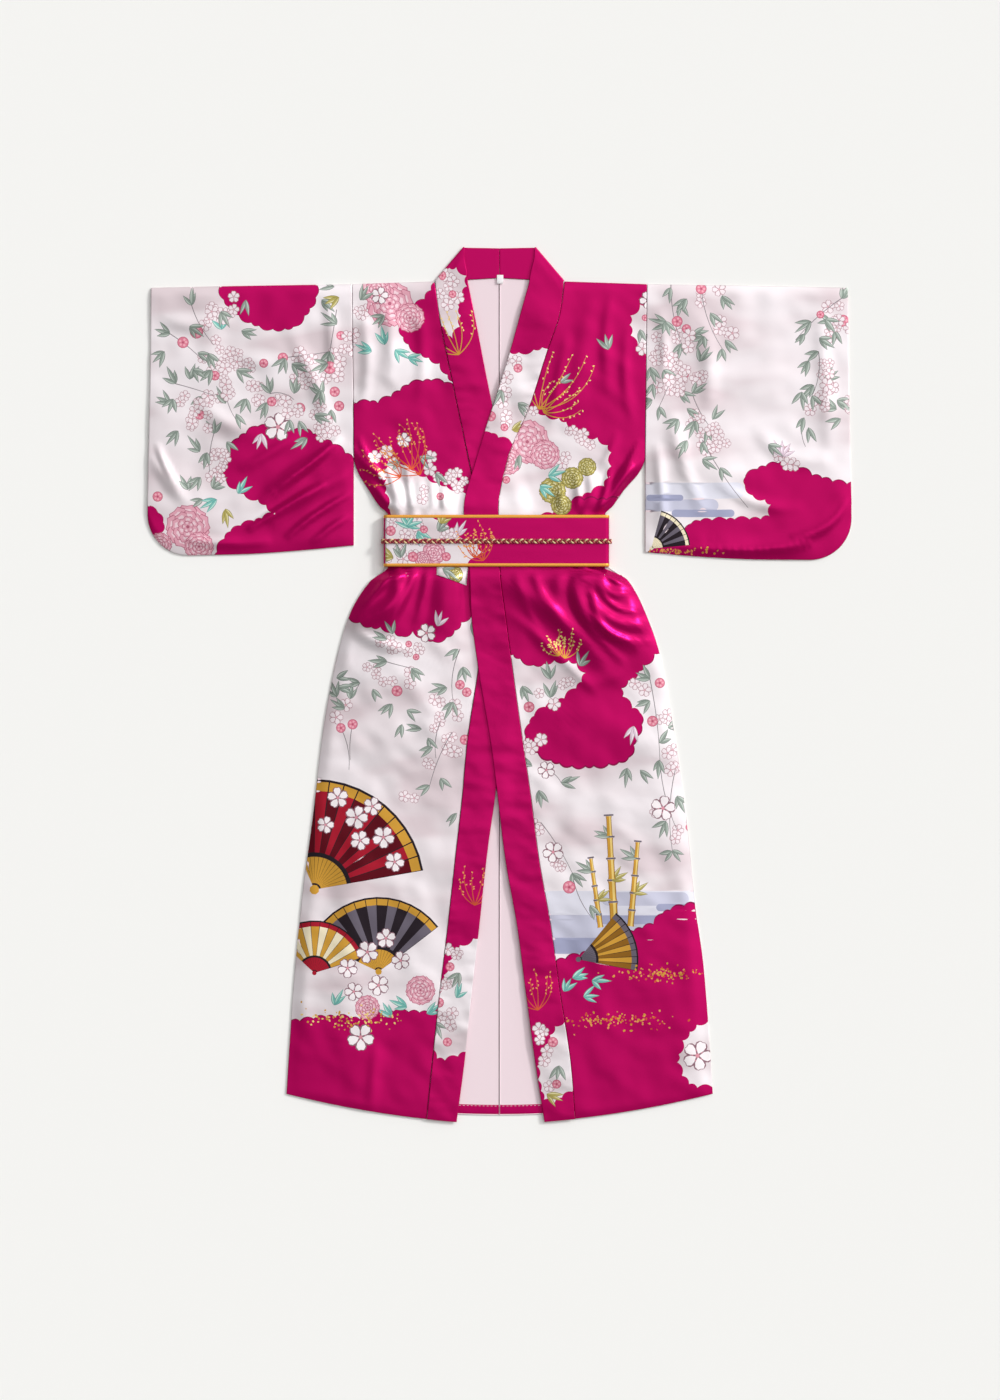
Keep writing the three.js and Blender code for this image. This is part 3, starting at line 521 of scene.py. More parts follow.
def buildSheet(name, sheet, marks, materials, thick):
    for mark in marks:
        shape = np.array(mark["place"])
        mark["low"], mark["high"] = shape.min(axis=0), shape.max(axis=0)
    flat, triangles, top, cloud = cutPrint(sheet, marks)
    places = onGrid(sheet, flat[:, 0], flat[:, 1], "at")
    normals = onGrid(sheet, flat[:, 0], flat[:, 1], "normal")
    normals /= np.linalg.norm(normals, axis=1, keepdims=True)
    a, b, c = (places[triangles[:, k]] for k in range(3))
    flipped = np.sum(np.cross(b - a, c - a) * normals[triangles[:, 0]]) < 0
    if flipped:
        triangles = triangles[:, ::-1]
    rim = rimOf(triangles, len(flat), flat, sheet)

    # the reverse carries no print, and meets the face along the edges
    rimPoints = np.unique(rim)
    u, v = sheet["u"], sheet["v"]
    coarse = [Vector((u[i], v[j])) for j in range(len(v)) for i in range(len(u)) if sheet["kept"][j, i]]
    verts = [Vector(flat[k]) for k in rimPoints] + coarse
    faces = []
    for outline in sheet["outlines"]:
        faces.append(list(range(len(verts), len(verts) + len(outline))))
        verts += [Vector(p) for p in outline]
    innerFlat, _, innerCut, innerFrom, _, _ = delaunay_2d_cdt(verts, [], faces, 1, 1e-5)
    innerFlat = np.array([p[:] for p in innerFlat], float)
    innerTriangles = np.array(innerCut)
    innerPlaces = onGrid(sheet, innerFlat[:, 0], innerFlat[:, 1], "at")
    innerNormals = onGrid(sheet, innerFlat[:, 0], innerFlat[:, 1], "normal")
    innerNormals /= np.linalg.norm(innerNormals, axis=1, keepdims=True)
    if not flipped:
        innerTriangles = innerTriangles[:, ::-1]
    count = len(places)
    partner = {}
    for k, source in enumerate(innerFrom):
        for s in source:
            if s < len(rimPoints):
                partner[rimPoints[s]] = k + count
    sides = np.array([(b, a, partner[a], partner[b]) for a, b in rim.tolist()])
    corners = np.concatenate([places, innerPlaces - innerNormals * thick])
    mesh = bpy.data.meshes.new(name)
    faceList = triangles.tolist() + (innerTriangles + count).tolist() + sides.tolist()
    mesh.from_pydata(((corners + cuttingPlace) / 1000).tolist(), [], faceList)
    for material in materials:
        mesh.materials.append(material)
    kind = np.concatenate([np.zeros(len(triangles), int), np.ones(len(innerTriangles), int),
                           np.zeros(len(sides), int)])
    mesh.polygons.foreach_set("material_index", kind)
    mesh.polygons.foreach_set("use_smooth", np.ones(len(kind), bool))
    outward = normals[sides[:, [0, 1, 1, 0]].ravel()]
    loopNormals = np.concatenate([normals[triangles.ravel()], -innerNormals[innerTriangles.ravel()], outward])
    mesh.normals_split_custom_set(loopNormals.tolist())
    colours = np.array([mark["ink"] or (0, 0, 0, 0) for mark in marks] + [(0, 0, 0, 0)], float)
    rest = len(innerTriangles) * 3 + len(sides) * 4
    inkLayer = mesh.color_attributes.new("ink", "FLOAT_COLOR", "CORNER")
    ink = np.concatenate([np.repeat(colours[top], 3, axis=0), np.zeros((rest, 4))])
    inkLayer.data.foreach_set("color", ink.ravel())
    cloudLayer = mesh.attributes.new("cloud", "FLOAT", "CORNER")
    ground = np.full(rest, sheet.get("ground", 0.0))
    cloudLayer.data.foreach_set("value", np.concatenate([np.repeat(cloud, 3), ground]))
    flatLayer = mesh.uv_layers.new(name="pattern")
    loopFlat = np.concatenate([flat[triangles.ravel()], innerFlat[innerTriangles.ravel()],
                               flat[sides[:, [0, 1, 1, 0]].ravel()]])
    flatLayer.data.foreach_set("uv", (loopFlat / 1000).ravel())
    piece = bpy.data.objects.new(name, mesh)
    scene.collection.objects.link(piece)
    print(name, len(triangles), "printed and", len(innerTriangles), "reverse triangles", len(rim), "rim")
    return piece


def lipDropAt(distance, radius):
    # how far the face has rolled away at a distance from its edge
    inward = np.clip(1 - distance / radius, 0, 1)
    return radius * (1 - np.sqrt(1 - inward ** 2))


def facing(sheet, row, column, way):
    normal = gridNormals(sheet["at"], False)
    sheet["normal"] = normal if np.dot(normal[row, column], way) > 0 else -normal
    return sheet


body = {"width": 250.0, "column": 5.2, "row": 5.2, "backRow": 12.0, "backColumn": 12.0, "foldSteps": 6}
halfGap = garment["gap"] / 2
foldRadius = garment["wall"] + halfGap


def bodySheet(side):
    sign, wall, width = signOf[side], garment["wall"], body["width"]
    main = np.concatenate([lipIn * wall, spaced(wall, width - wall, body["column"])[1:-1],
                           width - lipIn[::-1] * wall])
    centre = np.concatenate([lipIn * wall, spaced(wall, garment["neck"], body["backColumn"])[1:-1]])
    u = np.concatenate([centre - garment["neck"], main])
    frontTop = -garment["hem"] - foldRadius
    frontV = np.concatenate([lipIn * wall, spaced(wall, frontTop, body["row"])[1:]])
    turns = np.radians(np.linspace(90, -90, body["foldSteps"] + 1))[1:]
    foldV = frontTop + foldRadius * (np.pi / 2 - turns)
    backLong = -garment["backHem"] - foldRadius
    backV = np.concatenate([spaced(0, backLong - wall, body["backRow"])[1:-1], backLong - lipIn[::-1] * wall])
    v = np.concatenate([frontV, foldV, foldV[-1] + backV])
    front, turned, first = len(frontV), len(foldV), len(centre)
    level = np.concatenate([garment["hem"] + frontV, np.zeros(turned), -foldRadius - backV])
    level[front:front + turned] = -foldRadius
    onBack = np.arange(len(v)) >= front + turned - 1
    at = np.zeros((len(v), len(u), 3))
    drop = np.zeros((len(v), len(u)))
    for j in range(len(v)):
        seam = bandSeam[side](level[j]) + sign * halfGap
        outer = sideSeam(side, level[j]) - sign * halfGap
        neckX = sign * (garment["neck"] + halfGap) * abs(outer) / garment["shoulderWidth"]
        if onBack[j]:
            seam = neckX
        full = abs(outer - seam)
        d = np.where(u > width - wall, full - (width - u),
                     wall + (u - wall) * (full - 2 * wall) / (width - 2 * wall))
        d = np.where(u < wall, u, d)
        if onBack[j]:
            e = u + garment["neck"]
            e = np.where(e < wall, e,
                         wall + (e - wall) * (abs(neckX) - halfGap - wall) / (garment["neck"] - wall))
            d = np.where(u < 0, e - abs(neckX) + halfGap, d)
        x = seam + sign * d
        if j < front:
            y = hung(x, level[j] + shoulder(x) * smoothstep(-60, -foldRadius, level[j]), frontHem,
                     garment["hem"])
            z = lowOf[side](x, y) + wall
            drop[j] = np.maximum(lipDropAt(np.abs(u), wall), lipDropAt(width - u, wall))
            drop[j] = np.maximum(drop[j], lipDropAt(v[j], wall))
        elif j < front + turned:
            angle = turns[j - front]
            y = shoulder(x) - foldRadius + foldRadius * np.cos(angle)
            z = foldRadius + foldRadius * np.sin(angle) + 0 * x
            drop[j] = np.maximum(lipDropAt(np.abs(u), wall) * (1 - (j - front + 1) / turned),
                                 lipDropAt(width - u, wall))
        if onBack[j]:
            neckRise = mix(neckline["point"], neckline["middle"] + foldRadius, 1 - np.abs(x) / abs(neckX))
            top = np.where(u < 0, neckRise, shoulder(x))
            y = hung(x, level[j] + top * smoothstep(-60, -foldRadius, level[j]), backHem, garment["backHem"])
            z = backUnder(y)
            drop[j] = np.maximum(lipDropAt(width - u, wall), lipDropAt(u + garment["neck"], wall))
            drop[j] = np.maximum(drop[j], lipDropAt(v[-1] - v[j], wall))
        at[j] = np.stack([x, y, z], 1)
    edge, step = at[:front + turned - 1, first:first + 1], at[:front + turned - 1, first + 1:first + 2]
    away = (u[:first] - u[first])[None, :, None]
    at[:front + turned - 1, :first] = edge + (step - edge) / (u[first + 1] - u[first]) * away
    sheet = facing({"u": u, "v": v, "at": at}, 40, first + 20, (0, 0, 1))
    sheet["at"] = at - sheet["normal"] * drop[:, :, None]
    sheet = facing(sheet, 40, first + 20, (0, 0, 1))
    start = v[front + turned - 1]
    sheet["kept"] = (v[:, None] >= start) | (u[None, :] >= 0)
    sheet["outlines"] = [[(0, 0), (width, 0), (width, v[-1]), (0, v[-1])],
                         [(u[0], start), (0, start), (0, v[-1]), (u[0], v[-1])]]

    def toSheet(x, y, back):
        if back:
            flat = levelOf(x, y, backHem, garment["backHem"])
            flat = flat - shoulder(x) * smoothstep(-60, -foldRadius, flat)
            seam = sign * (garment["neck"] + halfGap) * np.abs(sideSeam(side,
                                                                        flat)) / garment["shoulderWidth"]
            high = start - foldRadius - flat
        else:
            flat = levelOf(x, y, frontHem, garment["hem"])
            flat = flat - shoulder(x) * smoothstep(-60, -foldRadius, flat)
            seam = bandSeam[side](flat) + sign * halfGap
            high = flat - garment["hem"]
        full = np.abs(sideSeam(side, flat) - sign * halfGap - seam)
        d = sign * (x - seam)
        across = np.where(d > full - wall, width - (full - d),
                          wall + (d - wall) * (width - 2 * wall) / (full - 2 * wall))
        across = np.where(d < wall, d, across)
        if back:
            e = (sign * x - halfGap) * garment["neck"] / (np.abs(seam) - halfGap)
            across = np.where(d < 0, e - garment["neck"], across)
        return np.stack([across, high], 1)
    sheet["toSheet"] = toSheet
    return sheet


sleeveGrid = {"column": 5.0, "row": 5.0, "long": 440.0}


def sleeveSheet(side):
    # one cloth turned over at the top, sewn along the bottom and round the lower corner
    sign = -1 if side == "left" else 1
    name = "sleeveLeft" if side == "left" else "sleeveRight"
    wall, reach = garment["wall"], sleeve["reach"] - sleeve["start"]
    line = through(sleeveEdges["x"], sleeveEdges[side])
    cornerX = reach - sleeve["corner"]
    arc = cornerX + sleeve["corner"] * np.sin(np.radians(np.arange(5, 80, 5)))
    u = np.concatenate([lipIn * wall, spaced(wall, cornerX, sleeveGrid["column"])[1:], arc,
                        reach - lipIn[::-1] * wall])
    long = sleeveGrid["long"]
    frontV = np.concatenate([lipIn * wall, spaced(wall, long, sleeveGrid["row"])[1:]])
    turns = np.radians(np.linspace(90, -90, body["foldSteps"] + 1))[1:]
    foldV = long + foldRadius * (np.pi / 2 - turns)
    backV = foldV[-1] + long - frontV[::-1][1:]
    v = np.concatenate([frontV, foldV, backV])
    front, turned = len(frontV), len(foldV)
    station = sleeve["start"] + u

    def bottom(place):
        past = np.clip(place - sleeve["start"] - cornerX, 0, sleeve["corner"])
        return line(place) + sleeve["corner"] - np.sqrt(sleeve["corner"] ** 2 - past ** 2)

    def toEdge(place, x, y):
        cuff = cuffAt(y) - np.abs(x)
        arm = np.abs(x) - armhole(y) - halfGap
        past, above = place - sleeve["start"] - cornerX, y - line(place) - sleeve["corner"]
        corner = np.where((past > 0) & (above < 0), sleeve["corner"] - np.hypot(past, above), y - line(place))
        return np.minimum(np.minimum(cuff, arm), np.maximum(corner, 0))

    at = np.zeros((len(v), len(u), 3))
    drop = np.zeros((len(v), len(u)))
    for j in range(len(v)):
        down = 1 - v[j] / long if j < front else 0.0
        if j >= front + turned:
            down = 1 - (v[-1] - v[j]) / long
        y = mix(sleeveTop(station) - foldRadius, bottom(station), down)
        x = sign * mix(armhole(y) + halfGap, cuffAt(y), u / reach)
        drop[j] = lipDropAt(toEdge(station, x, y), wall)
        if j < front:
            belowArm = smoothstep(garment["armpit"] + 20, garment["armpit"] - 30, y)
            freeSeam = 1 - 0.75 * belowArm * (1 - rolled(np.abs(x) - armhole(y), loose["edge"]))
            cuff = mix(0.8, 1, rolled(cuffAt(y) - np.abs(x), loose["edge"]))
            fromBottom = (1 - down) * (sleeveTop(station) - bottom(station))
            closed = rolled(sleeveTop(station) - y, loose["fold"]) * rolled(fromBottom, loose["edge"])
            lumps = 1.2 * softNoise(x, y * 0.8, 60, 21) + 0.7 * softNoise(x, y, 26, 22)
            height = loose["rise"] + ridges(folds[name], x, y) + 2.0 * ridges(fineFolds[name], x, y) + lumps
            z = 2 * wall + garment["gap"] + height * freeSeam * cuff * closed
        elif j < front + turned:
            angle = turns[j - front]
            y = sleeveTop(station) - foldRadius + foldRadius * np.cos(angle)
            z = foldRadius + foldRadius * np.sin(angle) + 0 * x
            drop[j] = lipDropAt(np.minimum(u, reach - u), wall)
        else:
            z = 0 * x
        at[j] = np.stack([x, y, z], 1)
    sheet = facing({"u": u, "v": v, "at": at}, 30, 20, (0, 0, 1))
    sheet["at"] = at - sheet["normal"] * drop[:, :, None]
    sheet = facing(sheet, 30, 20, (0, 0, 1))
    sheet["kept"] = np.ones((len(v), len(u)), bool)
    sheet["outlines"] = [[(0, 0), (u[-1], 0), (u[-1], v[-1]), (0, v[-1])]]

    def toSheet(x, y, back):
        share = (np.abs(x) - armhole(y) - halfGap) / (cuffAt(y) - armhole(y) - halfGap)
        place = sleeve["start"] + share * reach
        topLine = sleeveTop(place) - foldRadius
        high = long * (1 - (topLine - y) / (topLine - bottom(place)))
        return np.stack([share * reach, v[-1] - high if back else high], 1)
    sheet["toSheet"] = toSheet
    return sheet


bandGrid = {"width": 54.0, "across": 5.0, "row": 4.4}


def bandSheet(side):
    # the same cloth folded double: over the top, round the free edge, and back underneath
    sign, thick, width = signOf[side], band["wall"], bandGrid["width"]
    round_, half = band["round"], band["gap"] / 2
    turnRadius = thick + half
    flat = spaced(round_, width - round_, bandGrid["across"])
    edge = np.radians(np.linspace(0, 180, 9))[1:-1]
    lip = np.concatenate([lipIn[:-1] * round_, flat])
    d = np.concatenate([lip, width - round_ + round_ * np.sin(edge), lip[::-1]])
    k = np.concatenate([np.cos(lipAngles[:-1]), np.ones(len(flat)), np.cos(edge), -np.ones(len(flat)),
                        -np.cos(lipAngles[:-1])[::-1]])
    arcs = width + round_ * (edge - np.pi / 2)
    u = np.concatenate([lip, width - round_ + round_ * edge, 2 * width + (np.pi - 2) * round_ - lip[::-1]])
    frontV = np.concatenate([lipIn * round_, spaced(round_, -garment["hem"] - 14, bandGrid["row"])[1:]])
    turns = np.radians(np.linspace(90, -90, 9))
    seamEnd = np.array([sign * turnover["seamX"], turnover["seamY"]])
    freeEnd = np.array([sign * turnover["freeX"], turnover["freeY"]])
    alongTurn = (freeEnd - seamEnd) / np.linalg.norm(freeEnd - seamEnd)
    out = np.array([-alongTurn[1], alongTurn[0]]) * (-1 if alongTurn[0] < 0 else 1)
    share = d / width
    rows, v = [], []

    def frontRow(level):
        freeY = level + (turnover["freeY"] - neckline["point"]) * smoothstep(turnover["climbFrom"],
                                                                             neckline["point"], level)
        seamX = bandSeam[side](level) - sign * half
        turning = smoothstep(neckline["point"], turnover["freeY"], freeY)
        freeX = mix(bandFree[side](freeY), sign * turnover["freeX"], turning)
        full = abs(freeX - seamX)
        t = np.where(d < round_, d / full, np.where(d > width - round_, 1 - (width - d) / full, share))
        x = mix(seamX, freeX, t)
        y = hung(x, mix(level, freeY, t), frontHem, garment["hem"])
        return x, y, bandLow(side, x, y)

    for high in frontV:
        level = garment["hem"] + high
        x, y, low = frontRow(level)
        ease = puckers(y, d, 17, 0.45, 9, 31 if sign < 0 else 37) * awayFromSash(y)
        ease = ease + 0.5 * softNoise(x, y, 40, 33) * awayFromSash(y)
        middle, rise_ = low + thick / 2, thick / 2 * max(0.25,
                                                         math.sqrt(max(0.0,
                                                                       1 - max(0.0, 1 - high / round_) ** 2)))
        z = middle + rise_ * k + ease * (k > 0)
        rows.append(np.stack([x, y, z], 1))
        v.append(high)
    last = rows[-1]
    for i, angle in enumerate(turns):
        line = seamEnd + share[:, None] * (freeEnd - seamEnd)
        radius = turnRadius - thick / 2 + thick / 2 * k
        place = line + out * (radius * math.cos(angle) - turnRadius)[:, None]
        row = np.concatenate([place, (turnRadius + radius * math.sin(angle))[:, None]], 1)
        if i == 0:
            for step in (0.25, 0.5, 0.75):
                rows.append(mix(last, row, step))
                v.append(frontV[-1] + 14 * step)
            v.append(frontV[-1] + 14)
        else:
            v.append(v[-1] + turnRadius * np.pi / (len(turns) - 1))
        rows.append(row)
    flatStart = rows[-1][:, :2]
    centre = np.stack([np.full(len(d), sign * half),
                       mix(neckline["middle"] + 0.5, turnover["middleY"], share)], 1)
    far = np.linalg.norm(centre - flatStart, axis=1).mean()
    for away in np.concatenate([spaced(0, far - round_, 5.0)[1:-1], far - lipIn[::-1] * round_]):
        place = mix(flatStart, centre, away / far)
        close = max(0.25, math.sqrt(max(0.0, 1 - max(0.0, 1 - (far - away) / round_) ** 2)))
        rows.append(np.concatenate([place, (thick / 2 - thick / 2 * k * close)[:, None]], 1))
        v.append(v[len(frontV) + 3 + len(turns) - 1] + away)
    sheet = {"u": u, "v": np.array(v), "at": np.array(rows)}
    sheet = facing(sheet, 40, 6, (0, 0, 1))
    sheet["kept"] = np.ones(sheet["at"].shape[:2], bool)
    sheet["outlines"] = [[(u[0], v[0]), (u[-1], v[0]), (u[-1], v[-1]), (u[0], v[-1])]]

    def toSheet(x, y, back):
        level = y + 0.0
        climb = turnover["freeY"] - neckline["point"]
        for _ in range(12):
            freeY = level + climb * smoothstep(turnover["climbFrom"], neckline["point"], level)
            seamX = bandSeam[side](level) - sign * half
            t = (x - seamX) / (bandFree[side](freeY) - seamX)
            level = mix(level, y - t * (freeY - level), 0.6)
        level = np.where(y < -900, levelOf(x, y, frontHem, garment["hem"]), level)
        return np.stack([t * width, level - garment["hem"]], 1)
    sheet["toSheet"] = toSheet
    return sheet


def awayFromSash(y):
    # 1 on the free cloth and 0 under the sash
    return 1 - inSash(y)


# The sash: a stiff ring, seen from its end
def sashOutline(inset, step):
    left, right = sash["left"] + inset, sash["right"] - inset
    low, side, crown = piping["proud"] + inset, sash["side"] - inset, sash["crown"] - inset
    corner = sash["corner"] - min(inset, sash["corner"] - 2.5)
    middle = (left + right) / 2
    points = []

    def line(x0, z0, x1, z1):
        for t in spaced(0, 1, step / math.hypot(x1 - x0, z1 - z0))[:-1]:
            points.append((mix(x0, x1, t), mix(z0, z1, t)))

    def arc(cx, cz, start):
        for t in np.linspace(0, 1, 7)[:-1]:
            angle = math.radians(start + 90 * t)
            points.append((cx + corner * math.cos(angle), cz + corner * math.sin(angle)))
    line(middle, low, right - corner, low)
    arc(right - corner, low + corner, -90)
    line(right, low + corner, right, side - corner)
    arc(right - corner, side - corner, 0)
    for t in spaced(0, 1, step / (right - left - 2 * corner))[:-1]:
        pull = 2 * crown - side
        x = mix(right - corner, left + corner, t)
        points.append((x, mix(mix(side, pull, t), mix(pull, side, t), t)))
    arc(left + corner, side - corner, 90)
    line(left, side - corner, left, low + corner)
    arc(left + corner, low + corner, 180)
    line(left + corner, low, middle, low)
    return np.array(points)


def arcLength(points):
    return np.insert(np.cumsum(np.linalg.norm(np.diff(points, axis=0), axis=1)), 0, 0)


def sashSheet():
    outline = sashOutline(0, 4.6)
    outline = np.concatenate([outline, outline[:1]])
    v = arcLength(outline)
    high, low = sash["top"] - piping["width"] + 0.8, sash["bottom"] + piping["width"] - 0.8
    u = spaced(0, high - low, 3.6)
    at = np.zeros((len(v), len(u), 3))
    for j in range(len(v)):
        at[j] = np.stack([np.full(len(u), outline[j, 0]), high - u, np.full(len(u), outline[j, 1])], 1)
    at[0, :, 0] += 0.2
    at[-1, :, 0] -= 0.2
    sheet = facing({"u": u, "v": v, "at": at}, len(v) // 2, 6, (0, 0, 1))
    uneven = 0.22 * softNoise(v[:, None] + 0 * u, u[None, :] * 3.2 + 0 * v[:, None], 34, 51)
    uneven = uneven * rolled(np.minimum(u, u[-1] - u)[None, :], 8)
    sheet["at"] = at + sheet["normal"] * uneven[:, :, None]
    sheet = facing(sheet, len(v) // 2, 6, (0, 0, 1))
    sheet["kept"] = np.ones((len(v), len(u)), bool)
    sheet["outlines"] = [[(0, 0), (u[-1], 0), (u[-1], v[-1]), (0, v[-1])]]

    def toSheet(x, y, back):
        # the front of the ring runs from right to left as v grows
        front = outline[:, 1] > sash["side"] - 1
        order = np.argsort(outline[front, 0])
        along = np.interp(x, outline[front, 0][order], v[front][order])
        return np.stack([high - y, along], 1)
    sheet["toSheet"] = toSheet
    return sheet


def solidFrom(name, points, faces, material):
    mesh = bpy.data.meshes.new(name)
    mesh.from_pydata(((np.array(points) + cuttingPlace) / 1000).tolist(), [], faces)
    mesh.materials.append(material)
    mesh.polygons.foreach_set("use_smooth", np.ones(len(faces), bool))
    piece = bpy.data.objects.new(name, mesh)
    scene.collection.objects.link(piece)
    return piece


def ringCord(name, middleY, material):
    # a piping: a filled cord in metallic cloth, all round the edge of the sash
    outline = sashOutline(0, 4.6)
    tangent = np.roll(outline, -1, axis=0) - np.roll(outline, 1, axis=0)
    tangent /= np.linalg.norm(tangent, axis=1, keepdims=True)
    normal = np.stack([tangent[:, 1], -tangent[:, 0]], 1)
    angles = np.radians(np.arange(0, 360, 22.5))
    points, faces = [], []
    wide, deep = piping["width"] / 2 - 0.1, piping["round"] + piping["proud"] / 2
    for i, (x, z) in enumerate(outline):
        for angle in angles:
            swell = math.copysign(abs(math.cos(angle)) ** 0.7, math.cos(angle))
            away = piping["proud"] - deep + deep * swell
            points.append((x + normal[i, 0] * away, middleY + wide * math.sin(angle),
                           z + normal[i, 1] * away))
    n, m = len(outline), len(angles)
    for i in range(n):
        for j in range(m):
            a, b = i * m + j, i * m + (j + 1) % m
            c, d = ((i + 1) % n) * m + (j + 1) % m, ((i + 1) % n) * m + j
            faces.append((a, d, c, b))
    return solidFrom(name, points, faces, material)


# The print: every motif is drawn from plain outlines and cut into the satin sheet where it lies
inkCodes = {
    "leafLine": "#5f6a63", "leaf": "#919c92", "leafLight": "#bdc5bc",
    "lilacLine": "#9c8493", "lilac": "#d9c3cf", "lilacLight": "#efe0e6",
    "tealLine": "#4f8582", "teal": "#79bcb2", "tealLight": "#bfe0d3",
    "oliveLine": "#7d7440", "olive": "#b3a65e", "oliveLight": "#dcd3a0",
    "faintLine": "#b8939a", "faint": "#efe2e5", "faintHeart": "#d9a5ae",
    "blossomLine": "#8f6974", "blossom": "#f7eeef", "blossomHeart": "#d8929f",
    "ballLine": "#b8556d", "ball": "#dc7f94", "ballLight": "#eeb0bb",
    "peonyLine": "#b9657c", "peony": "#e6a9b8", "peonyLight": "#f3d3da",
    "twig": "#80767a", "orange": "#cf5a34", "orangeLight": "#e9a05a",
    "gold": "#cf9a3c", "goldLight": "#efd17e", "goldLine": "#8f6222", "cream": "#f1e4c3",
    "crimson": "#a81d30", "crimsonDark": "#5e0f1c", "black": "#2a2228", "ash": "#6c6470",
    "mist": "#c9c8d9", "mistDark": "#a4a6c1", "mistLight": "#e2e0ea", "edge": "#8c0f49",
}


def linear(code, alpha=1.0):
    channels = [int(code[i:i + 2], 16) / 255 for i in (1, 3, 5)]
    return tuple(c / 12.92 if c <= 0.04045 else ((c + 0.055) / 1.055) ** 2.4 for c in channels) + (alpha,)


inks = {name: linear(code) for name, code in inkCodes.items()}


def stamp(drawn, points, x, y, heading, ink):
    turn = math.radians(heading)
    p = np.asarray(points, float)
    across, along = math.cos(turn), math.sin(turn)
    placed = np.stack([x + p[:, 0] * across - p[:, 1] * along, y + p[:, 0] * along + p[:, 1] * across], 1)
    drawn.append((placed, inks[ink], 0.0))


def disc(radius, corners=12, long=1.0):
    angle = np.linspace(0, 2 * np.pi, corners, endpoint=False)
    return np.stack([radius * long * np.cos(angle), radius * np.sin(angle)], 1)


def leafShape(long, wide, start=0.0):
    t = np.linspace(0, 1, 7)
    half = wide / 2 * np.sin(np.pi * t ** 0.8)
    return np.concatenate([np.stack([start + t * long, half], 1),
                           np.stack([start + t * long, -half], 1)[-2:0:-1]])


def drawLeaf(drawn, x, y, heading, long, wide, family="leaf"):
    stamp(drawn, leafShape(long + 1.2, wide + 1.3, -0.5), x, y, heading, family + "Line")
    stamp(drawn, leafShape(long, wide), x, y, heading, family)
    half = leafShape(long * 0.94, wide * 0.82, 0.6)[:7]
    stamp(drawn, np.concatenate([half, [(long * 0.5, wide * 0.06)]]), x, y, heading, family + "Light")


def drawSpray(drawn, rng, x, y, heading, leaves, family="leaf"):
    # two or three narrow leaves from one joint
    spread = 58 if leaves == 3 else 34
    for k in range(leaves):
        turn = heading + spread * (k / (leaves - 1) - 0.5) + rng.uniform(-9, 9)
        long = rng.uniform(22, 30) * (1.1 if leaves == 3 and k == 1 else 0.9)
        drawLeaf(drawn, x, y, turn, long, rng.uniform(5.2, 6.8), family)


petal = np.array([(0.10, 0), (0.42, 0.27), (0.72, 0.35), (0.97, 0.20), (0.93, 0),
                  (0.97, -0.20), (0.72, -0.35), (0.42, -0.27)])


lobes = np.radians(np.linspace(0, 360, 40, endpoint=False))
fiveLobed = 0.70 + 0.30 * np.abs(np.cos(2.5 * lobes)) ** 0.55 - 0.07 * (np.abs(np.sin(2.5 * lobes)) < 0.12)


def drawBlossom(drawn, rng, x, y, radius, family):
    turn = rng.uniform(0, 72)
    line = 0.5 if family == "faint" else 0.7
    outline = np.stack([fiveLobed * np.cos(lobes), fiveLobed * np.sin(lobes)], 1) * (radius + line)
    stamp(drawn, outline, x, y, turn, family + "Line")
    for k in range(5):
        stamp(drawn, petal * (radius - line) + (line * 0.6, 0), x, y, turn + 72 * k, family)
    stamp(drawn, disc(radius * 0.16, 6), x, y, 0, family + "Heart")
    if family != "faint":
        for k in range(5):
            angle = math.radians(turn + 72 * k + 36)
            far = radius * 0.36
            stamp(drawn, disc(radius * 0.06, 4), x + far * math.cos(angle), y + far * math.sin(angle), 0,
                  family + "Heart")


def drawCluster(drawn, rng, x, y):
    # pale outlined blossoms that crowd together behind the leaves
    for _ in range(rng.choice((2, 2, 3))):
        drawBlossom(drawn, rng, x + rng.uniform(-13, 13), y + rng.uniform(-13, 13), rng.uniform(7.5, 11.5),
                    "faint")


def drawBall(drawn, rng, x, y, radius):
    # a small full flower seen from above
    stamp(drawn, disc(radius + 0.4, 14), x, y, 0, "ballLine")
    stamp(drawn, disc(radius - 0.4, 14), x, y, 0, "ball")
    for k in range(5):
        angle = math.radians(72 * k + rng.uniform(-12, 12))
        away = radius * 0.56
        stamp(drawn, disc(radius * 0.24, 5), x + away * math.cos(angle), y + away * math.sin(angle), 0,
              "ballLight")
    stamp(drawn, disc(radius * 0.2, 7), x, y, 0, "ballLine")


def drawPeony(drawn, rng, x, y, radius, family="peony"):
    for ring, petals in ((1.0, 9), (0.74, 8), (0.48, 6), (0.27, 5)):
        turn = rng.uniform(0, 60)
        for k in range(petals):
            heading = turn + 360 / petals * k
            stamp(drawn, petal * (1, 1.25) * (radius * ring + 0.5), x, y, heading, family + "Line")
            stamp(drawn, petal * (1, 1.2) * (radius * ring - 0.6), x, y, heading, family)
            stamp(drawn, petal * (0.5, 0.72) * radius * ring * 0.8 + (radius * ring * 0.42, 0), x, y, heading,
                  family + "Light")
    stamp(drawn, disc(radius * 0.08, 8), x, y, 0, family + "Line")


def strip(points, wide, narrow):
    # a tapering line along a few points
    p = np.asarray(points, float)
    way = np.gradient(p, axis=0)
    way /= np.linalg.norm(way, axis=1, keepdims=True)
    side = np.stack([-way[:, 1], way[:, 0]], 1) * np.linspace(wide, narrow, len(p))[:, None] / 2
    return np.concatenate([p + side, (p - side)[::-1]])


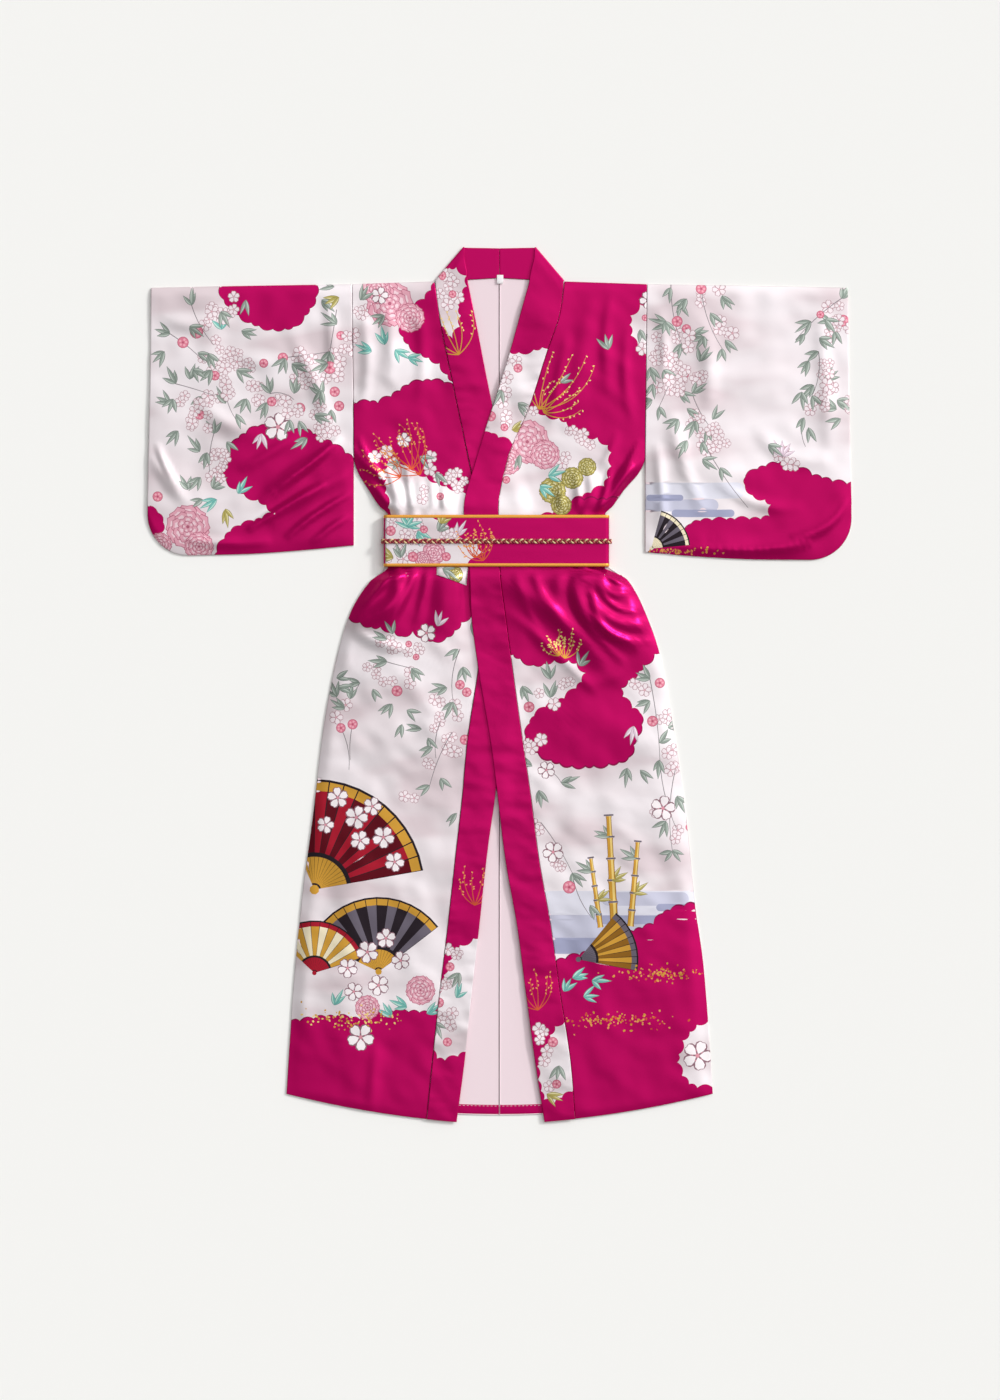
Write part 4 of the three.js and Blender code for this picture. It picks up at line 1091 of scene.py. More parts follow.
def bow(x0, y0, x1, y1, sag, steps=8):
    t = np.linspace(0, 1, steps)
    long = math.hypot(x1 - x0, y1 - y0)
    nx, ny = -(y1 - y0) / long, (x1 - x0) / long
    away = 4 * sag * t * (1 - t)
    return np.stack([x0 + (x1 - x0) * t + nx * away, y0 + (y1 - y0) * t + ny * away], 1)


def drawReeds(drawn, rng, x, y, heading, long, ink, seed):
    # a tuft of bent grass, its upper ends heavy with seeds
    for k in range(6):
        turn = math.radians(heading + (k - 2.5) * 13 + rng.uniform(-5, 5))
        far = long * rng.uniform(0.7, 1.05)
        tip = (x + far * math.cos(turn), y + far * math.sin(turn))
        line = bow(x, y, *tip, (2.5 - k) * -0.07 * far, 12)
        stamp(drawn, strip(line, 1.7, 0.7), 0, 0, 0, ink)
        for share in (0.62, 0.7, 0.78, 0.86, 0.93, 1.0):
            px, py = line[min(int(share * 11), 11)]
            stamp(drawn, disc(1.2, 5, 1.7), px + rng.uniform(-3, 3), py + rng.uniform(-3, 3),
                  rng.uniform(0, 180), seed)


def drawFan(drawn, x, y, heading, radius, spread, leaf, stripe, rim, ribs=11):
    # an open folding fan, plain and striped folds in turn
    angles = np.radians(np.linspace(-spread / 2, spread / 2, ribs + 1))
    stamp(drawn, [(0, 0)] + [((radius + 1.2) * math.cos(a), (radius + 1.2) * math.sin(a)) for a in angles],
          x, y, heading, "black")
    for k in range(ribs):
        a, b = angles[k] + 0.006, angles[k + 1] - 0.006
        for near, far, ink in ((0.34, 0.9, leaf if k % 2 else stripe), (0.9, 0.985, rim), (0.06, 0.3, rim)):
            corners = [(near * radius * math.cos(a), near * radius * math.sin(a)),
                       (far * radius * math.cos(a), far * radius * math.sin(a)),
                       (far * radius * math.cos(b), far * radius * math.sin(b)),
                       (near * radius * math.cos(b), near * radius * math.sin(b))]
            stamp(drawn, corners, x, y, heading, ink)
    stamp(drawn, disc(radius * 0.045, 8), x, y, heading, rim)


def drawMist(drawn, x, y, long, high, ink):
    # a flat bank of mist with rounded ends
    t = np.linspace(-np.pi / 2, np.pi / 2, 9)
    right = np.stack([long / 2 + high / 2 * np.cos(t), high / 2 * np.sin(t)], 1)
    left = np.stack([-long / 2 - high / 2 * np.cos(t), -high / 2 * np.sin(t)], 1)
    stamp(drawn, np.concatenate([right, left]), x, y, 0, ink)


def drawBamboo(drawn, rng, x, y, high, wide, lean):
    # a standing culm in gold with grey joints
    joints = np.linspace(0, high, 6)
    for k in range(5):
        low, top = joints[k] + 1.6, joints[k + 1] - 1.6
        for scale, ink in ((1.0, "goldLine"), (0.82, "gold"), (0.32, "goldLight")):
            w = wide / 2 * scale * (1 - 0.09 * k)
            off = -wide * 0.12 if ink == "goldLight" else 0
            shape = [(low, -w + off), (low + 4, -w * 0.86 + off), (top - 4, -w * 0.86 + off), (top, -w + off),
                     (top, w + off), (top - 4, w * 0.86 + off), (low + 4, w * 0.86 + off), (low, w + off)]
            stamp(drawn, shape, x, y, 90 + lean, ink)
        jx = x + joints[k + 1] * math.cos(math.radians(90 + lean))
        jy = y + joints[k + 1] * math.sin(math.radians(90 + lean))
        stamp(drawn, [(-1.3, -wide * 0.52), (1.3, -wide * 0.52), (1.3, wide * 0.52), (-1.3, wide * 0.52)],
              jx, jy,
              90 + lean, "ash")
        if k % 2:
            drawSpray(drawn, rng, jx, jy, 30 if k == 1 else 150, 3, "olive" if k == 1 else "leaf")


def drawFlecks(drawn, rng, x, y, long, high, count, inkNames):
    # cut gold leaf scattered in a drift
    for _ in range(count):
        dx, dy = rng.gauss(0, long / 4), rng.gauss(0, high / 4)
        size = rng.uniform(0.9, 2.0)
        stamp(drawn, disc(size, 5, rng.uniform(1, 1.7)), x + dx, y + dy, rng.uniform(0, 180),
              rng.choice(inkNames))


def scalloped(corners, bulge, chord=19.0):
    # the same outline in even arcs, which swell outwards, or inwards where bulge is negative
    p = np.array(corners, float)
    area = np.sum(p[:, 0] * np.roll(p[:, 1], -1) - np.roll(p[:, 0], -1) * p[:, 1])
    p = p if area > 0 else p[::-1]
    closed = np.concatenate([p, p[:1]])
    length = arcLength(closed)
    knots = np.linspace(0, length[-1], max(6, int(round(length[-1] / chord))) + 1)
    knots[1:-1] += 3.2 * np.sin(np.arange(1, len(knots) - 1) * 2.4)
    knotX, knotY = np.interp(knots, length, closed[:, 0]), np.interp(knots, length, closed[:, 1])
    outline = []
    for k in range(len(knots) - 1):
        dx, dy = knotX[k + 1] - knotX[k], knotY[k + 1] - knotY[k]
        for t in np.linspace(0, 1, 8)[:-1]:
            away = 4 * t * (1 - t) * bulge * math.hypot(dx, dy) / chord
            outline.append((knotX[k] + dx * t + dy / math.hypot(dx, dy) * away,
                            knotY[k] + dy * t - dx / math.hypot(dx, dy) * away))
    return outline


def drawCloud(drawn, corners, magenta=True):
    bulge = 4.2 if magenta else -4.2
    outline = np.array(scalloped(corners, bulge))
    middle = outline.mean(axis=0)
    stamp(drawn, middle + (outline - middle) * (1.012 if magenta else 0.985), 0, 0, 0, "edge")
    drawn.append((outline, None, 1.0 if magenta else 0.0))


prints = {
    "sleeveLeft": {
        "trio": [(-499, -38, 95), (-418, -79, -20), (-534, -84, 165), (-543, -113, -140),
            (-525, -165, 120), (-502, -158, 75), (-534, -197, 150), (-444, -197, 110), (-463, -246, 85),
            (-486, -275, 130), (-505, -337, 110), (-466, -334, 40), (-372, -181, 100), (-333, -181, 80),
            (-264, -69, 150), (-288, -184, 120), (-275, -113, -100), (-288, -29, -40)],
        "pair": [(-427, -214, -60), (-489, -115, -20), (-442, -259, -60), (-340, -223, -90),
            (-325, -225, -75), (-481, -353, -160), (-268, -8, 170), (-273, -207, -80), (-411, -29, -90)],
        "lilac": [(-385, -246, -100)],
        "teal": [(-450, -77, 100), (-458, -353, -150), (-424, -343, 60)],
        "olive": [(-444, -368, -80), (-260, -25, -150)],
        "faint": [(-460, -102), (-444, -126), (-476, -132), (-463, -184), (-512, -184), (-463, -282),
            (-470, -308), (-327, -116), (-324, -152), (-395, -171), (-356, -194), (-288, -209),
            (-272, -158), (-414, -126), (-483, -61), (-259, -110), (-505, -230), (-298, -240), (-440, -45)],
        "ball": [(-491, -81, 10.5), (-513, -98, 9), (-461, -152, 7.5), (-444, -162, 8), (-486, -215, 8),
            (-554, -348, 8), (-382, -132, 7), (-351, -123, 8), (-369, -194, 7.5), (-324, -205, 9),
            (-257, -87, 7), (-275, -139, 10), (-267, -178, 8), (-260, -201, 8), (-277, -222, 6)],
        "blossom": [(-359, -235, 23)],
        "peony": [(-505, -397, 36), (-487, -429, 24), (-551, -426, 20)],
        "stem": [(-499, -38, -463, -102), (-534, -84, -476, -132), (-525, -165, -463, -184),
            (-444, -162, -427, -223), (-463, -246, -470, -308), (-351, -123, -275, -113),
            (-372, -181, -333, -191), (-264, -45, -288, -184)],
    },
    "sleeveRight": {
        "trio": [(361, -22, -60), (272, -68, 170), (314, -84, 10), (324, -129, 60), (312, -180, 40),
            (304, -257, -120), (505, -64, -150), (554, -27, 60), (527, -158, 30), (546, -207, 160),
            (295, -100, -100)],
        "pair": [(278, -9, -120), (293, -34, -80), (342, -50, -60), (366, -94, -60), (361, -108, -100),
            (249, -165, -100), (259, -202, -70), (304, -205, -40), (345, -223, 60), (337, -238, -90),
            (329, -259, -80), (358, -301, -60), (494, -84, -120), (517, -113, -150), (507, -167, -140),
            (507, -184, -70), (494, -220, -120), (501, -236, -70), (553, -222, -150), (535, -63, 170),
            (544, -79, -80)],
        "lilac": [(457, -283, 60), (457, -283, 120)],
        "faint": [(346, -68), (260, -123), (282, -129), (306, -158), (311, -227), (343, -277), (329, -243),
            (283, -81), (535, -82), (514, -141), (527, -178), (509, -197), (564, -202), (540, -45),
            (251, -102), (264, -175), (325, -29), (457, -282)],
        "ball": [(327, -11, 8.5), (288, -64, 8.5), (303, -76, 7), (298, -149, 9), (557, -63, 9.5),
            (520, -53, 6)],
        "stem": [(278, -4, 295, -100), (327, -11, 361, -108), (295, -100, 259, -202),
            (312, -180, 345, -240), (329, -256, 403, -366), (554, -27, 480, -94), (517, -113, 507, -184),
            (494, -220, 496, -267)],
    },
    "under": {
        "trio": [(-182, -616, 170), (-142, -626, -60), (-242, -676, 80), (-251, -692, 150),
            (-174, -684, -130), (-75, -681, -110), (-59, -624, -80), (-85, -658, -170), (-264, -673, 120),
            (-186, -55, -150), (-226, -29, 60)],
        "pair": [(-173, -571, 100), (-182, -580, 160), (-226, -650, 170), (-205, -660, -60),
            (-150, -694, -30), (-158, -717, -100), (-67, -595, -140), (-45, -551, -60), (-126, -725, 170),
            (-116, -739, -70), (-108, -754, -150), (-95, -804, -60), (-113, -816, -140), (-69, -861, -130),
            (-264, -642, 10), (-262, -657, -10), (-129, -283, -30), (-103, -309, -60), (-161, -291, -150)],
        "lilac": [(-101, -558, 70)],
        "teal": [(-169, -110, -40), (-148, -121, -20), (-207, -113, 160), (-186, -102, 100)],
        "faint": [(-182, -592), (-158, -593), (-139, -600), (-210, -635), (-184, -652), (-96, -713),
            (-77, -730), (-113, -772), (-80, -752), (-142, -824), (-259, -697), (-155, -639), (-90, -321),
            (-77, -304), (-109, -291), (-67, -330), (-223, -48), (-233, -90), (-116, -340), (-181, -304),
            (-194, -288), (-103, -678), (-61, -691)],
        "ball": [(-166, -663, 8.6), (-238, -717, 8), (-257, -723, 7.5), (-64, -653, 7.5), (-53, -665, 7.5),
            (-56, -742, 8), (-147, -587, 5), (-135, -608, 5), (-96, -348, 6)],
        "blossom": [(-118, -569, 15), (-225, -1224, 22), (-194, -22, 14), (-155, -256, 12)],
        "peony": [(-178, -35, 38), (-200, -12, 24), (-145, -58, 24)],
        "stem": [(-238, -717, -242, -775), (-257, -723, -244, -791), (-242, -676, -226, -650),
            (-182, -616, -142, -626), (-64, -595, -75, -681), (-77, -730, -113, -816),
            (-96, -713, -103, -772)],
        "reedOrange": [(-128, -312, 128, 104), (-142, -304, 104, 78), (-160, -316, 150, 66)],
    },
    "over": {
        "trio": [(37, -655, -60), (82, -644, 100), (82, -674, 80), (100, -812, 10), (64, -824, -80),
            (244, -644, 150), (244, -679, -150), (259, -775, -90), (270, -874, -120), (118, -958, -60),
            (129, -622, 60), (207, -788, -100), (288, -833, -60), (24, -183, -140), (176, -110, 100)],
        "pair": [(53, -785, 150), (259, -747, 40), (228, -791, -50), (280, -923, -150), (280, -921, -40),
            (147, -1010, -60), (306, -840, -60), (273, -723, 20), (11, -215, -150), (98, -163, 30),
            (33, -280, -100), (228, -77, -80)],
        "lilac": [(218, -720, -100)],
        "teal": [(79, -314, 10), (66, -330, -30)],
        "faint": [(111, -650), (280, -751), (285, -791), (260, -856), (280, -897), (67, -876), (84, -921),
            (97, -949), (299, -775), (267, -704), (59, -751), (228, -661), (76, -678), (33, -240),
            (53, -256), (20, -272), (46, -199), (235, -102), (118, -240), (137, -259), (98, -296),
            (316, -864)],
        "ball": [(48, -689, 8.5), (248, -712, 8.5), (113, -981, 10), (308, -884, 6), (260, -650, 8),
            (11, -321, 6), (236, -58, 5)],
        "blossom": [(76, -791, 14), (265, -853, 20), (87, -924, 17), (321, -1254, 24), (241, -29, 14)],
        "peony": [(45, -259, 36), (74, -280, 24), (14, -291, 22)],
        "stem": [(244, -644, 260, -775), (260, -775, 288, -889), (67, -876, 118, -958),
            (118, -958, 150, -1031), (76, -791, 100, -812), (285, -791, 280, -921)],
        "reedGold": [(106, -610, 84, 46), (96, -606, 112, 34), (64, -206, 66, 112), (72, -212, 40, 76)],
    },
    "underBand": {
        "faint": [(-84, 2), (-72, -8), (-90, -18), (-80, -30), (-74, -1090), (-96, -1140), (-88, -1182),
                  (-70, -1216)],
        "ball": [(-92, 10, 7), (-76, -20, 6), (-80, -1110, 7), (-98, -1168, 8), (-84, -1232, 7)],
        "trio": [(-64, -1120, -120), (-104, -1200, -60)], "teal": [(-70, -1160, 60)],
        "olive": [(-110, -1216, 150)],
        "reedGold": [(-66, -118, 112, 74)], "reedOrange": [(-58, -640, 100, 60), (-40, -1010, 84, 66)],
    },
    "overBand": {
        "faint": [(14, -128), (2, -150), (22, -168), (-8, -196), (14, -214), (70, -1222), (84, -1250),
                  (76, -1292)],
        "ball": [(30, -140, 7), (-14, -218, 8), (8, -236, 6), (86, -1232, 8), (92, -1300, 7)],
        "trio": [(4, -176, -120), (30, -196, -40), (96, -1270, -100)], "teal": [(-22, -236, 150)],
        "olive": [(20, -240, 20), (76, -1316, -30)],
        "reedOrange": [(62, -1180, 100, 66), (70, -760, 84, 50)],
    },
    "sash": {
        "faint": [(-168, -388), (-152, -408), (-134, -392), (-170, -436), (-150, -446), (-118, -424),
                  (-84, -408)],
        "ball": [(-176, -404, 8), (-140, -446, 8), (-86, -446, 7), (-122, -402, 6)],
        "trio": [(-160, -448, 100), (-100, -404, 40)],
        "teal": [(-146, -400, 120), (-150, -396, 20), (-132, -404, -60)],
        "olive": [(-96, -392, 60), (-172, -448, 160)], "lilac": [(-70, -412, 60)],
        "peony": [(-106, -440, 19), (-124, -450, 13)],
        "reedOrange": [(-26, -452, 116, 62), (-40, -448, 80, 48)],
    },
}
clouds = {      # magenta clouds, and the pale openings that are left in them
    "sleeveLeft": [
        [(-455, 30), (-455, 8), (-447, -28), (-416, -60), (-376, -76), (-337, -75), (-311, -49), (-298, -24),
         (-298, 8), (-298, 30)],
        [(-450, -294), (-424, -255), (-385, -232), (-348, -245), (-320, -240), (-282, -256), (-243, -284),
         (-215, -307), (-200, -480), (-466, -480), (-455, -428), (-431, -399), (-392, -386), (-364, -376),
         (-382, -357), (-418, -342), (-442, -323)],
        [(-600, -360), (-560, -366), (-545, -385), (-548, -410), (-575, -430), (-600, -430)],
    ],
    "under": [
        [(-60, 40), (-97, 11), (-116, -24), (-148, -50), (-161, -71), (-153, -96), (-129, -115), (-97, -131),
         (-72, -167), (-20, -167), (-20, 40)],
        [(-270, -210), (-249, -206), (-220, -193), (-194, -198), (-168, -183), (-144, -166), (-113, -161),
         (-80, -166), (-51, -193), (10, -226), (10, -470), (-270, -470)],
        [(-290, -420), (-262, -518), (-243, -544), (-202, -561), (-184, -557), (-158, -574), (-142, -565),
         (-106, -583), (-80, -573), (-51, -537), (20, -518), (20, -420)],
        [(-380, -1193), (-324, -1199), (-275, -1191), (-223, -1196), (-174, -1183), (-113, -1186),
         (-77, -1173),
         (-20, -1150), (-20, -1400), (-380, -1400)],
    ],
    "underOpen": [
        [(-181, -287), (-161, -284), (-140, -305), (-113, -318), (-87, -331), (-61, -336), (-22, -355),
         (-22, -404), (-174, -404), (-186, -339), (-189, -307)],
    ],
    "over": [
        [(40, 20), (262, 20), (262, -470), (-40, -470), (-40, -200)],
        [(-15, -355), (-20, -560), (1, -595), (20, -602), (54, -621), (75, -618), (97, -610), (123, -615),
         (144, -636), (126, -657), (103, -677), (80, -685), (59, -699), (41, -729), (49, -751), (71, -767),
         (92, -777), (124, -784), (161, -782), (192, -777), (215, -766), (218, -740), (230, -719),
         (230, -699),
         (213, -690), (197, -670), (196, -652), (212, -643), (230, -626), (257, -595), (325, -583),
         (325, -355)],
        [(390, -998), (316, -1009), (286, -1016), (264, -1025), (251, -1042), (225, -1051), (196, -1061),
         (163, -1077), (137, -1090), (92, -1103), (20, -1108), (20, -1400), (390, -1400)],
    ],
    "overOpen": [
        [(-15, -180), (53, -201), (74, -216), (98, -221), (121, -235), (142, -252), (168, -252), (181, -274),
         (181, -307), (168, -334), (139, -346), (106, -360), (79, -381), (-30, -388)],
        [(262, -31), (225, -37), (210, -58), (213, -88), (226, -112), (262, -118)],
        [(375, -1186), (327, -1197), (309, -1215), (295, -1232), (288, -1264), (299, -1296), (320, -1306),
         (375, -1306)],
    ],
    "sleeveRight": [
        [(393, -323), (410, -307), (431, -300), (455, -294), (481, -299), (501, -313), (528, -320),
         (549, -329),
         (610, -326), (610, -490), (225, -490), (244, -435), (273, -428), (299, -417), (303, -398),
         (317, -388),
         (382, -385), (431, -385), (447, -372), (436, -355), (410, -346)],
    ],
    "overBandOpen": [
        [(90, -101), (37, -115), (5, -112), (-45, -226), (-48, -252), (-12, -245), (6, -258), (40, -268),
         (90, -226)],
        [(140, -1180), (95, -1197), (79, -1225), (64, -1258), (58, -1283), (67, -1313), (75, -1335),
         (92, -1329),
         (111, -1313), (140, -1309)],
    ],
    "underBandOpen": [
        [(-10, -1053), (-48, -1066), (-71, -1079), (-85, -1105), (-97, -1150), (-118, -1183), (-120, -1232),
         (-103, -1258), (-80, -1264), (-61, -1251), (-41, -1245), (-10, -1232)],
        [(-120, 20), (-100, -70), (-78, -95), (-60, -66), (-68, -30), (-48, 0), (-60, 24)],
    ],
    "sashOpen": [
        [(-230, -340), (-116, -368), (-97, -389), (-72, -399), (-59, -417), (-30, -427), (-24, -440),
         (-46, -453),
         (-64, -480), (-230, -480)],
    ],
}


def drawGroup(drawn, rng, group):
    for x, y in group.get("faint", []):
        drawCluster(drawn, rng, x, y)
    for x0, y0, x1, y1 in group.get("stem", []):
        stamp(drawn, strip(bow(x0, y0, x1, y1, rng.uniform(-7, 7)), 1.3, 0.8), 0, 0, 0, "twig")
    for x, y, radius in group.get("peony", []):
        drawPeony(drawn, rng, x, y, radius)
    for x, y, radius in group.get("blossom", []):
        drawBlossom(drawn, rng, x, y, radius, "blossom")
    for kind, leaves, family in (("trio", 3, "leaf"), ("pair", 2, "leaf"), ("lilac", 3, "lilac"),
                                 ("teal", 3, "teal"), ("olive", 3, "olive")):
        for x, y, heading in group.get(kind, []):
            drawSpray(drawn, rng, x, y, heading, leaves, family)
    for x, y, radius in group.get("ball", []):
        drawBall(drawn, rng, x, y, radius)
    for x, y, heading, long in group.get("reedOrange", []):
        drawReeds(drawn, rng, x, y, heading, long, "orange", "orangeLight")
    for x, y, heading, long in group.get("reedGold", []):
        drawReeds(drawn, rng, x, y, heading, long, "gold", "goldLight")


def onSheet(sheet, drawn, back=False):
    marks = []
    for points, ink, cloud in drawn:
        place = sheet["toSheet"](points[:, 0], points[:, 1], back)
        after = np.roll(place, -1, axis=0)
        if np.sum(place[:, 0] * after[:, 1] - after[:, 0] * place[:, 1]) < 0:
            place = place[::-1]              # each outline runs anticlockwise on the pattern
        marks.append({"place": [tuple(p) for p in place], "ink": ink, "cloud": cloud})
    return marks


def drawBack(seed, left, right, top, bottom):
    # the side that lies on the table: the same clouds and sprays in a layout of their own
    rng, drawn = random.Random(seed), []
    width, height = right - left, top - bottom
    for share in (0.16, 0.5, 0.84):
        cx, cy = left + width * rng.uniform(0.42, 0.56), top - height * share
        corners = []
        for k in range(12):
            angle = 2 * math.pi * k / 12
            corners.append((cx + width * rng.uniform(0.28, 0.4) * math.cos(angle),
                            cy + min(height * 0.09, 80) * rng.uniform(0.75, 1.1) * math.sin(angle)))
        drawCloud(drawn, corners)
    group = {"faint": [], "trio": [], "pair": [], "ball": [], "stem": []}
    for _ in range(int(width * height / 26000)):
        x, y = rng.uniform(left + 20, right - 20), rng.uniform(bottom + 25, top - 15)
        group["faint"].append((x, y))
        group["trio"].append((x + rng.uniform(-18, 18), y - 14, rng.uniform(-160, -20)))
        group["pair"].append((x + rng.uniform(-10, 10), y - 34, rng.uniform(-140, -40)))
        group["stem"].append((x, y, x + rng.uniform(-12, 12), y - 36))
        if rng.random() < 0.6:
            group["ball"].append((x + rng.uniform(-14, 14), y + 10, rng.uniform(6.5, 9)))
    drawGroup(drawn, rng, group)
    return drawn


def drawFront(name):
    rng, drawn = random.Random(len(name) * 7 + 1), []
    if name == "over":
        # banks of mist, standing bamboo and drifts of cut gold, in place of a landscape
        for x, y, long, high, ink in ((190, -1010, 250, 46, "mistLight"), (150, -1046, 220, 40, "mist"),
                                      (236, -1000, 120, 22, "mist"), (110, -1076, 120, 26, "mistDark"),
                                      (208, -1034, 90, 14, "mistDark"), (290, -1014, 60, 12, "mistDark")):
            drawMist(drawn, x, y, long, high, ink)
    if name == "sleeveRight":
        for x, y, long, high, ink in ((310, -338, 150, 26, "mistLight"), (290, -362, 110, 20, "mist"),
                                      (330, -375, 90, 12, "mistDark"), (268, -350, 50, 10, "mistDark")):
            drawMist(drawn, x, y, long, high, ink)
    for corners in clouds[name]:
        drawCloud(drawn, corners)
    for corners in clouds.get(name + "Open", []):
        drawCloud(drawn, corners, False)
    if name == "under":
        # open fans and blossom, in place of a figured picture
        drawFan(drawn, -300, -985, 62, 178, 104, "crimson", "crimsonDark", "gold", 13)
        drawFan(drawn, -196, -1118, 96, 120, 118, "black", "ash", "gold", 13)
        drawFan(drawn, -300, -1120, 78, 84, 120, "cream", "gold", "crimson", 11)
        for x, y, r in ((-262, -836, 17), (-232, -868, 19), (-206, -850, 15), (-226, -905, 16),
                        (-188, -900, 18),
                        (-170, -940, 16), (-282, -880, 14), (-214, -1086, 18), (-184, -1064, 16),
                        (-246, -1112, 16), (-160, -1100, 15), (-196, -1140, 17), (-236, -1150, 15)):
            drawBlossom(drawn, rng, x, y, r, "blossom")
        for x, y, heading in ((-150, -1176, 160), (-118, -1186, 30), (-176, -1192, 120), (-268, -1172, 60)):
            drawSpray(drawn, rng, x, y, heading, 3, "teal")
        drawPeony(drawn, rng, -128, -1148, 24)
        drawPeony(drawn, rng, -214, -1176, 20)
        drawFlecks(drawn, rng, -240, -1196, 190, 34, 110, ("gold", "goldLight"))
    if name == "over":
        for x, y, high, wide, lean in ((186, -1040, 176, 15, 3), (212, -1046, 140, 12, -5),
                                       (164, -1048, 116, 10, 8)):
            drawBamboo(drawn, rng, x, y, high, wide, lean)
        drawFan(drawn, 128, -1098, 20, 96, 62, "gold", "goldLine", "ash", 9)
        for x, y, heading in ((118, -1128, 20), (150, -1132, -10), (104, -1150, 60), (136, -1158, 10)):
            drawSpray(drawn, rng, x, y, heading, 3, "teal")
        drawFlecks(drawn, rng, 262, -1121, 150, 24, 110, ("gold", "orangeLight", "orange"))
        drawFlecks(drawn, rng, 180, -1196, 170, 26, 120, ("gold", "orangeLight", "orange"))
        for x, y, r in ((86, -338, 22), (118, -318, 18), (142, -300, 15), (100, -362, 17)):
            drawPeony(drawn, rng, x, y, r, "olive")
    if name == "sleeveRight":
        drawFan(drawn, 246, -432, 40, 62, 70, "ash", "black", "cream", 8)
        drawFlecks(drawn, rng, 300, -436, 120, 10, 50, ("gold", "orangeLight"))
    drawGroup(drawn, rng, prints[name])
    if name.startswith("sleeve"):
        for x, y in prints[name]["faint"]:      # looser twigs beside the drawn ones
            drawCluster(drawn, rng, x + rng.uniform(14, 24), y + rng.uniform(-22, 22))
            drawSpray(drawn, rng, x - rng.uniform(10, 22), y + rng.uniform(-24, 20), rng.uniform(-160, -20),
                      3)
    return drawn


# Materials
def addNode(tree, kind, settings=None, links=None):
    node = tree.nodes.new(kind)
    for key, value in (settings or {}).items():
        if key in node.inputs and not hasattr(type(node), key):
            node.inputs[key].default_value = value
        else:
            setattr(node, key, value)
    for key, source in (links or {}).items():
        tree.links.new(source, node.inputs[key])
    return node


def newMaterial(name):
    material = bpy.data.materials.new(name)
    material.use_nodes = True
    tree = material.node_tree
    tree.nodes.clear()
    output = addNode(tree, "ShaderNodeOutputMaterial")
    return material, tree, output


def plainMaterial(name, code, settings):
    # one colour and finish, with no print
    material, tree, output = newMaterial(name)
    shader = addNode(tree, "ShaderNodeBsdfPrincipled", {"Base Color": linear(code), **settings})
    tree.links.new(shader.outputs[0], output.inputs[0])
    return material


def worked(tree, operation, *values, kind="ShaderNodeMath"):
    # a maths node, each input a number or another node's output
    node = addNode(tree, kind, {"operation": operation})
    for socket, value in zip(node.inputs, values):
        if isinstance(value, bpy.types.NodeSocket):
            tree.links.new(value, socket)
        else:
            socket.default_value = value
    return node


# printed polyester satin: its long smooth floats give a broad pearly shine in the colour of the dye
material, tree, output = newMaterial("printedSatin")
place = addNode(tree, "ShaderNodeTexCoord").outputs["Object"]
cloudAttribute = addNode(tree, "ShaderNodeAttribute", {"attribute_name": "cloud"})
inkAttribute = addNode(tree, "ShaderNodeAttribute", {"attribute_name": "ink"})
stretched = addNode(tree, "ShaderNodeMapping", {"Scale": (5.0, 13.0, 1.0)}, {"Vector": place})
mist = addNode(tree, "ShaderNodeTexNoise", {"Scale": 1.0, "Detail": 2.0, "Roughness": 0.45},
               {"Vector": stretched.outputs["Vector"]})
ground = addNode(tree, "ShaderNodeValToRGB", {}, {"Fac": mist.outputs["Fac"]})
ground.color_ramp.elements[0].position, ground.color_ramp.elements[0].color = 0.38, linear("#dccccf")
ground.color_ramp.elements[1].position, ground.color_ramp.elements[1].color = 0.60, linear("#f3eaec")
middleTone = ground.color_ramp.elements.new(0.48)
middleTone.color = linear("#eadfe1")
coloured = addNode(tree, "ShaderNodeMix", {"data_type": "RGBA"},
                   {0: cloudAttribute.outputs["Fac"], 6: ground.outputs["Color"]})
coloured.inputs[7].default_value = linear("#b8045a")
printed = addNode(tree, "ShaderNodeMix", {"data_type": "RGBA"},
                  {0: inkAttribute.outputs["Alpha"], 6: coloured.outputs[2],
                   7: inkAttribute.outputs["Color"]})
# the weave's diagonal, 0.6 mm apart in place of 0.1 mm so that it can show
weaveTurn = addNode(tree, "ShaderNodeMapping",
                    {"Rotation": (0, 0, math.radians(63)), "Scale": (1600, 1600, 1600)},
                    {"Vector": place})
weave = addNode(tree, "ShaderNodeTexWave", {"Scale": 1.0, "Distortion": 0.6, "Detail": 1.0},
                {"Vector": weaveTurn.outputs["Vector"]})
weaveBump = addNode(tree, "ShaderNodeBump", {"Strength": 0.05, "Distance": 0.0002},
                    {"Height": weave.outputs["Fac"]})
shader = addNode(tree, "ShaderNodeBsdfPrincipled", {
    "Metallic": 0.5, "Roughness": 0.3, "IOR": 1.53, "Specular IOR Level": 0.08,
}, {"Base Color": printed.outputs[2], "Normal": weaveBump.outputs["Normal"]})
tree.links.new(shader.outputs[0], output.inputs[0])
printedSatin = material

# the back of the same satin: the colours show through as one pale pink, duller than the face
satinReverse = plainMaterial("satinReverse", "#efdadf", {
    "Roughness": 0.58, "IOR": 1.53, "Sheen Weight": 0.1, "Sheen Roughness": 0.5,
})

# lurex piping: metal foil laid in a yellow ground
metallicPiping = plainMaterial("metallicPiping", "#e8a23c", {"Roughness": 0.32, "Metallic": 0.45, "IOR": 1.5})

# viscose braid: tight soft strands with little shine
cordMaterials = [plainMaterial(name, code, {"Roughness": 0.5, "IOR": 1.5}) for name, code in
                 (("wineCord", "#7d1626"), ("redCord", "#a3293a"), ("creamCord", "#d9bd8c"))]

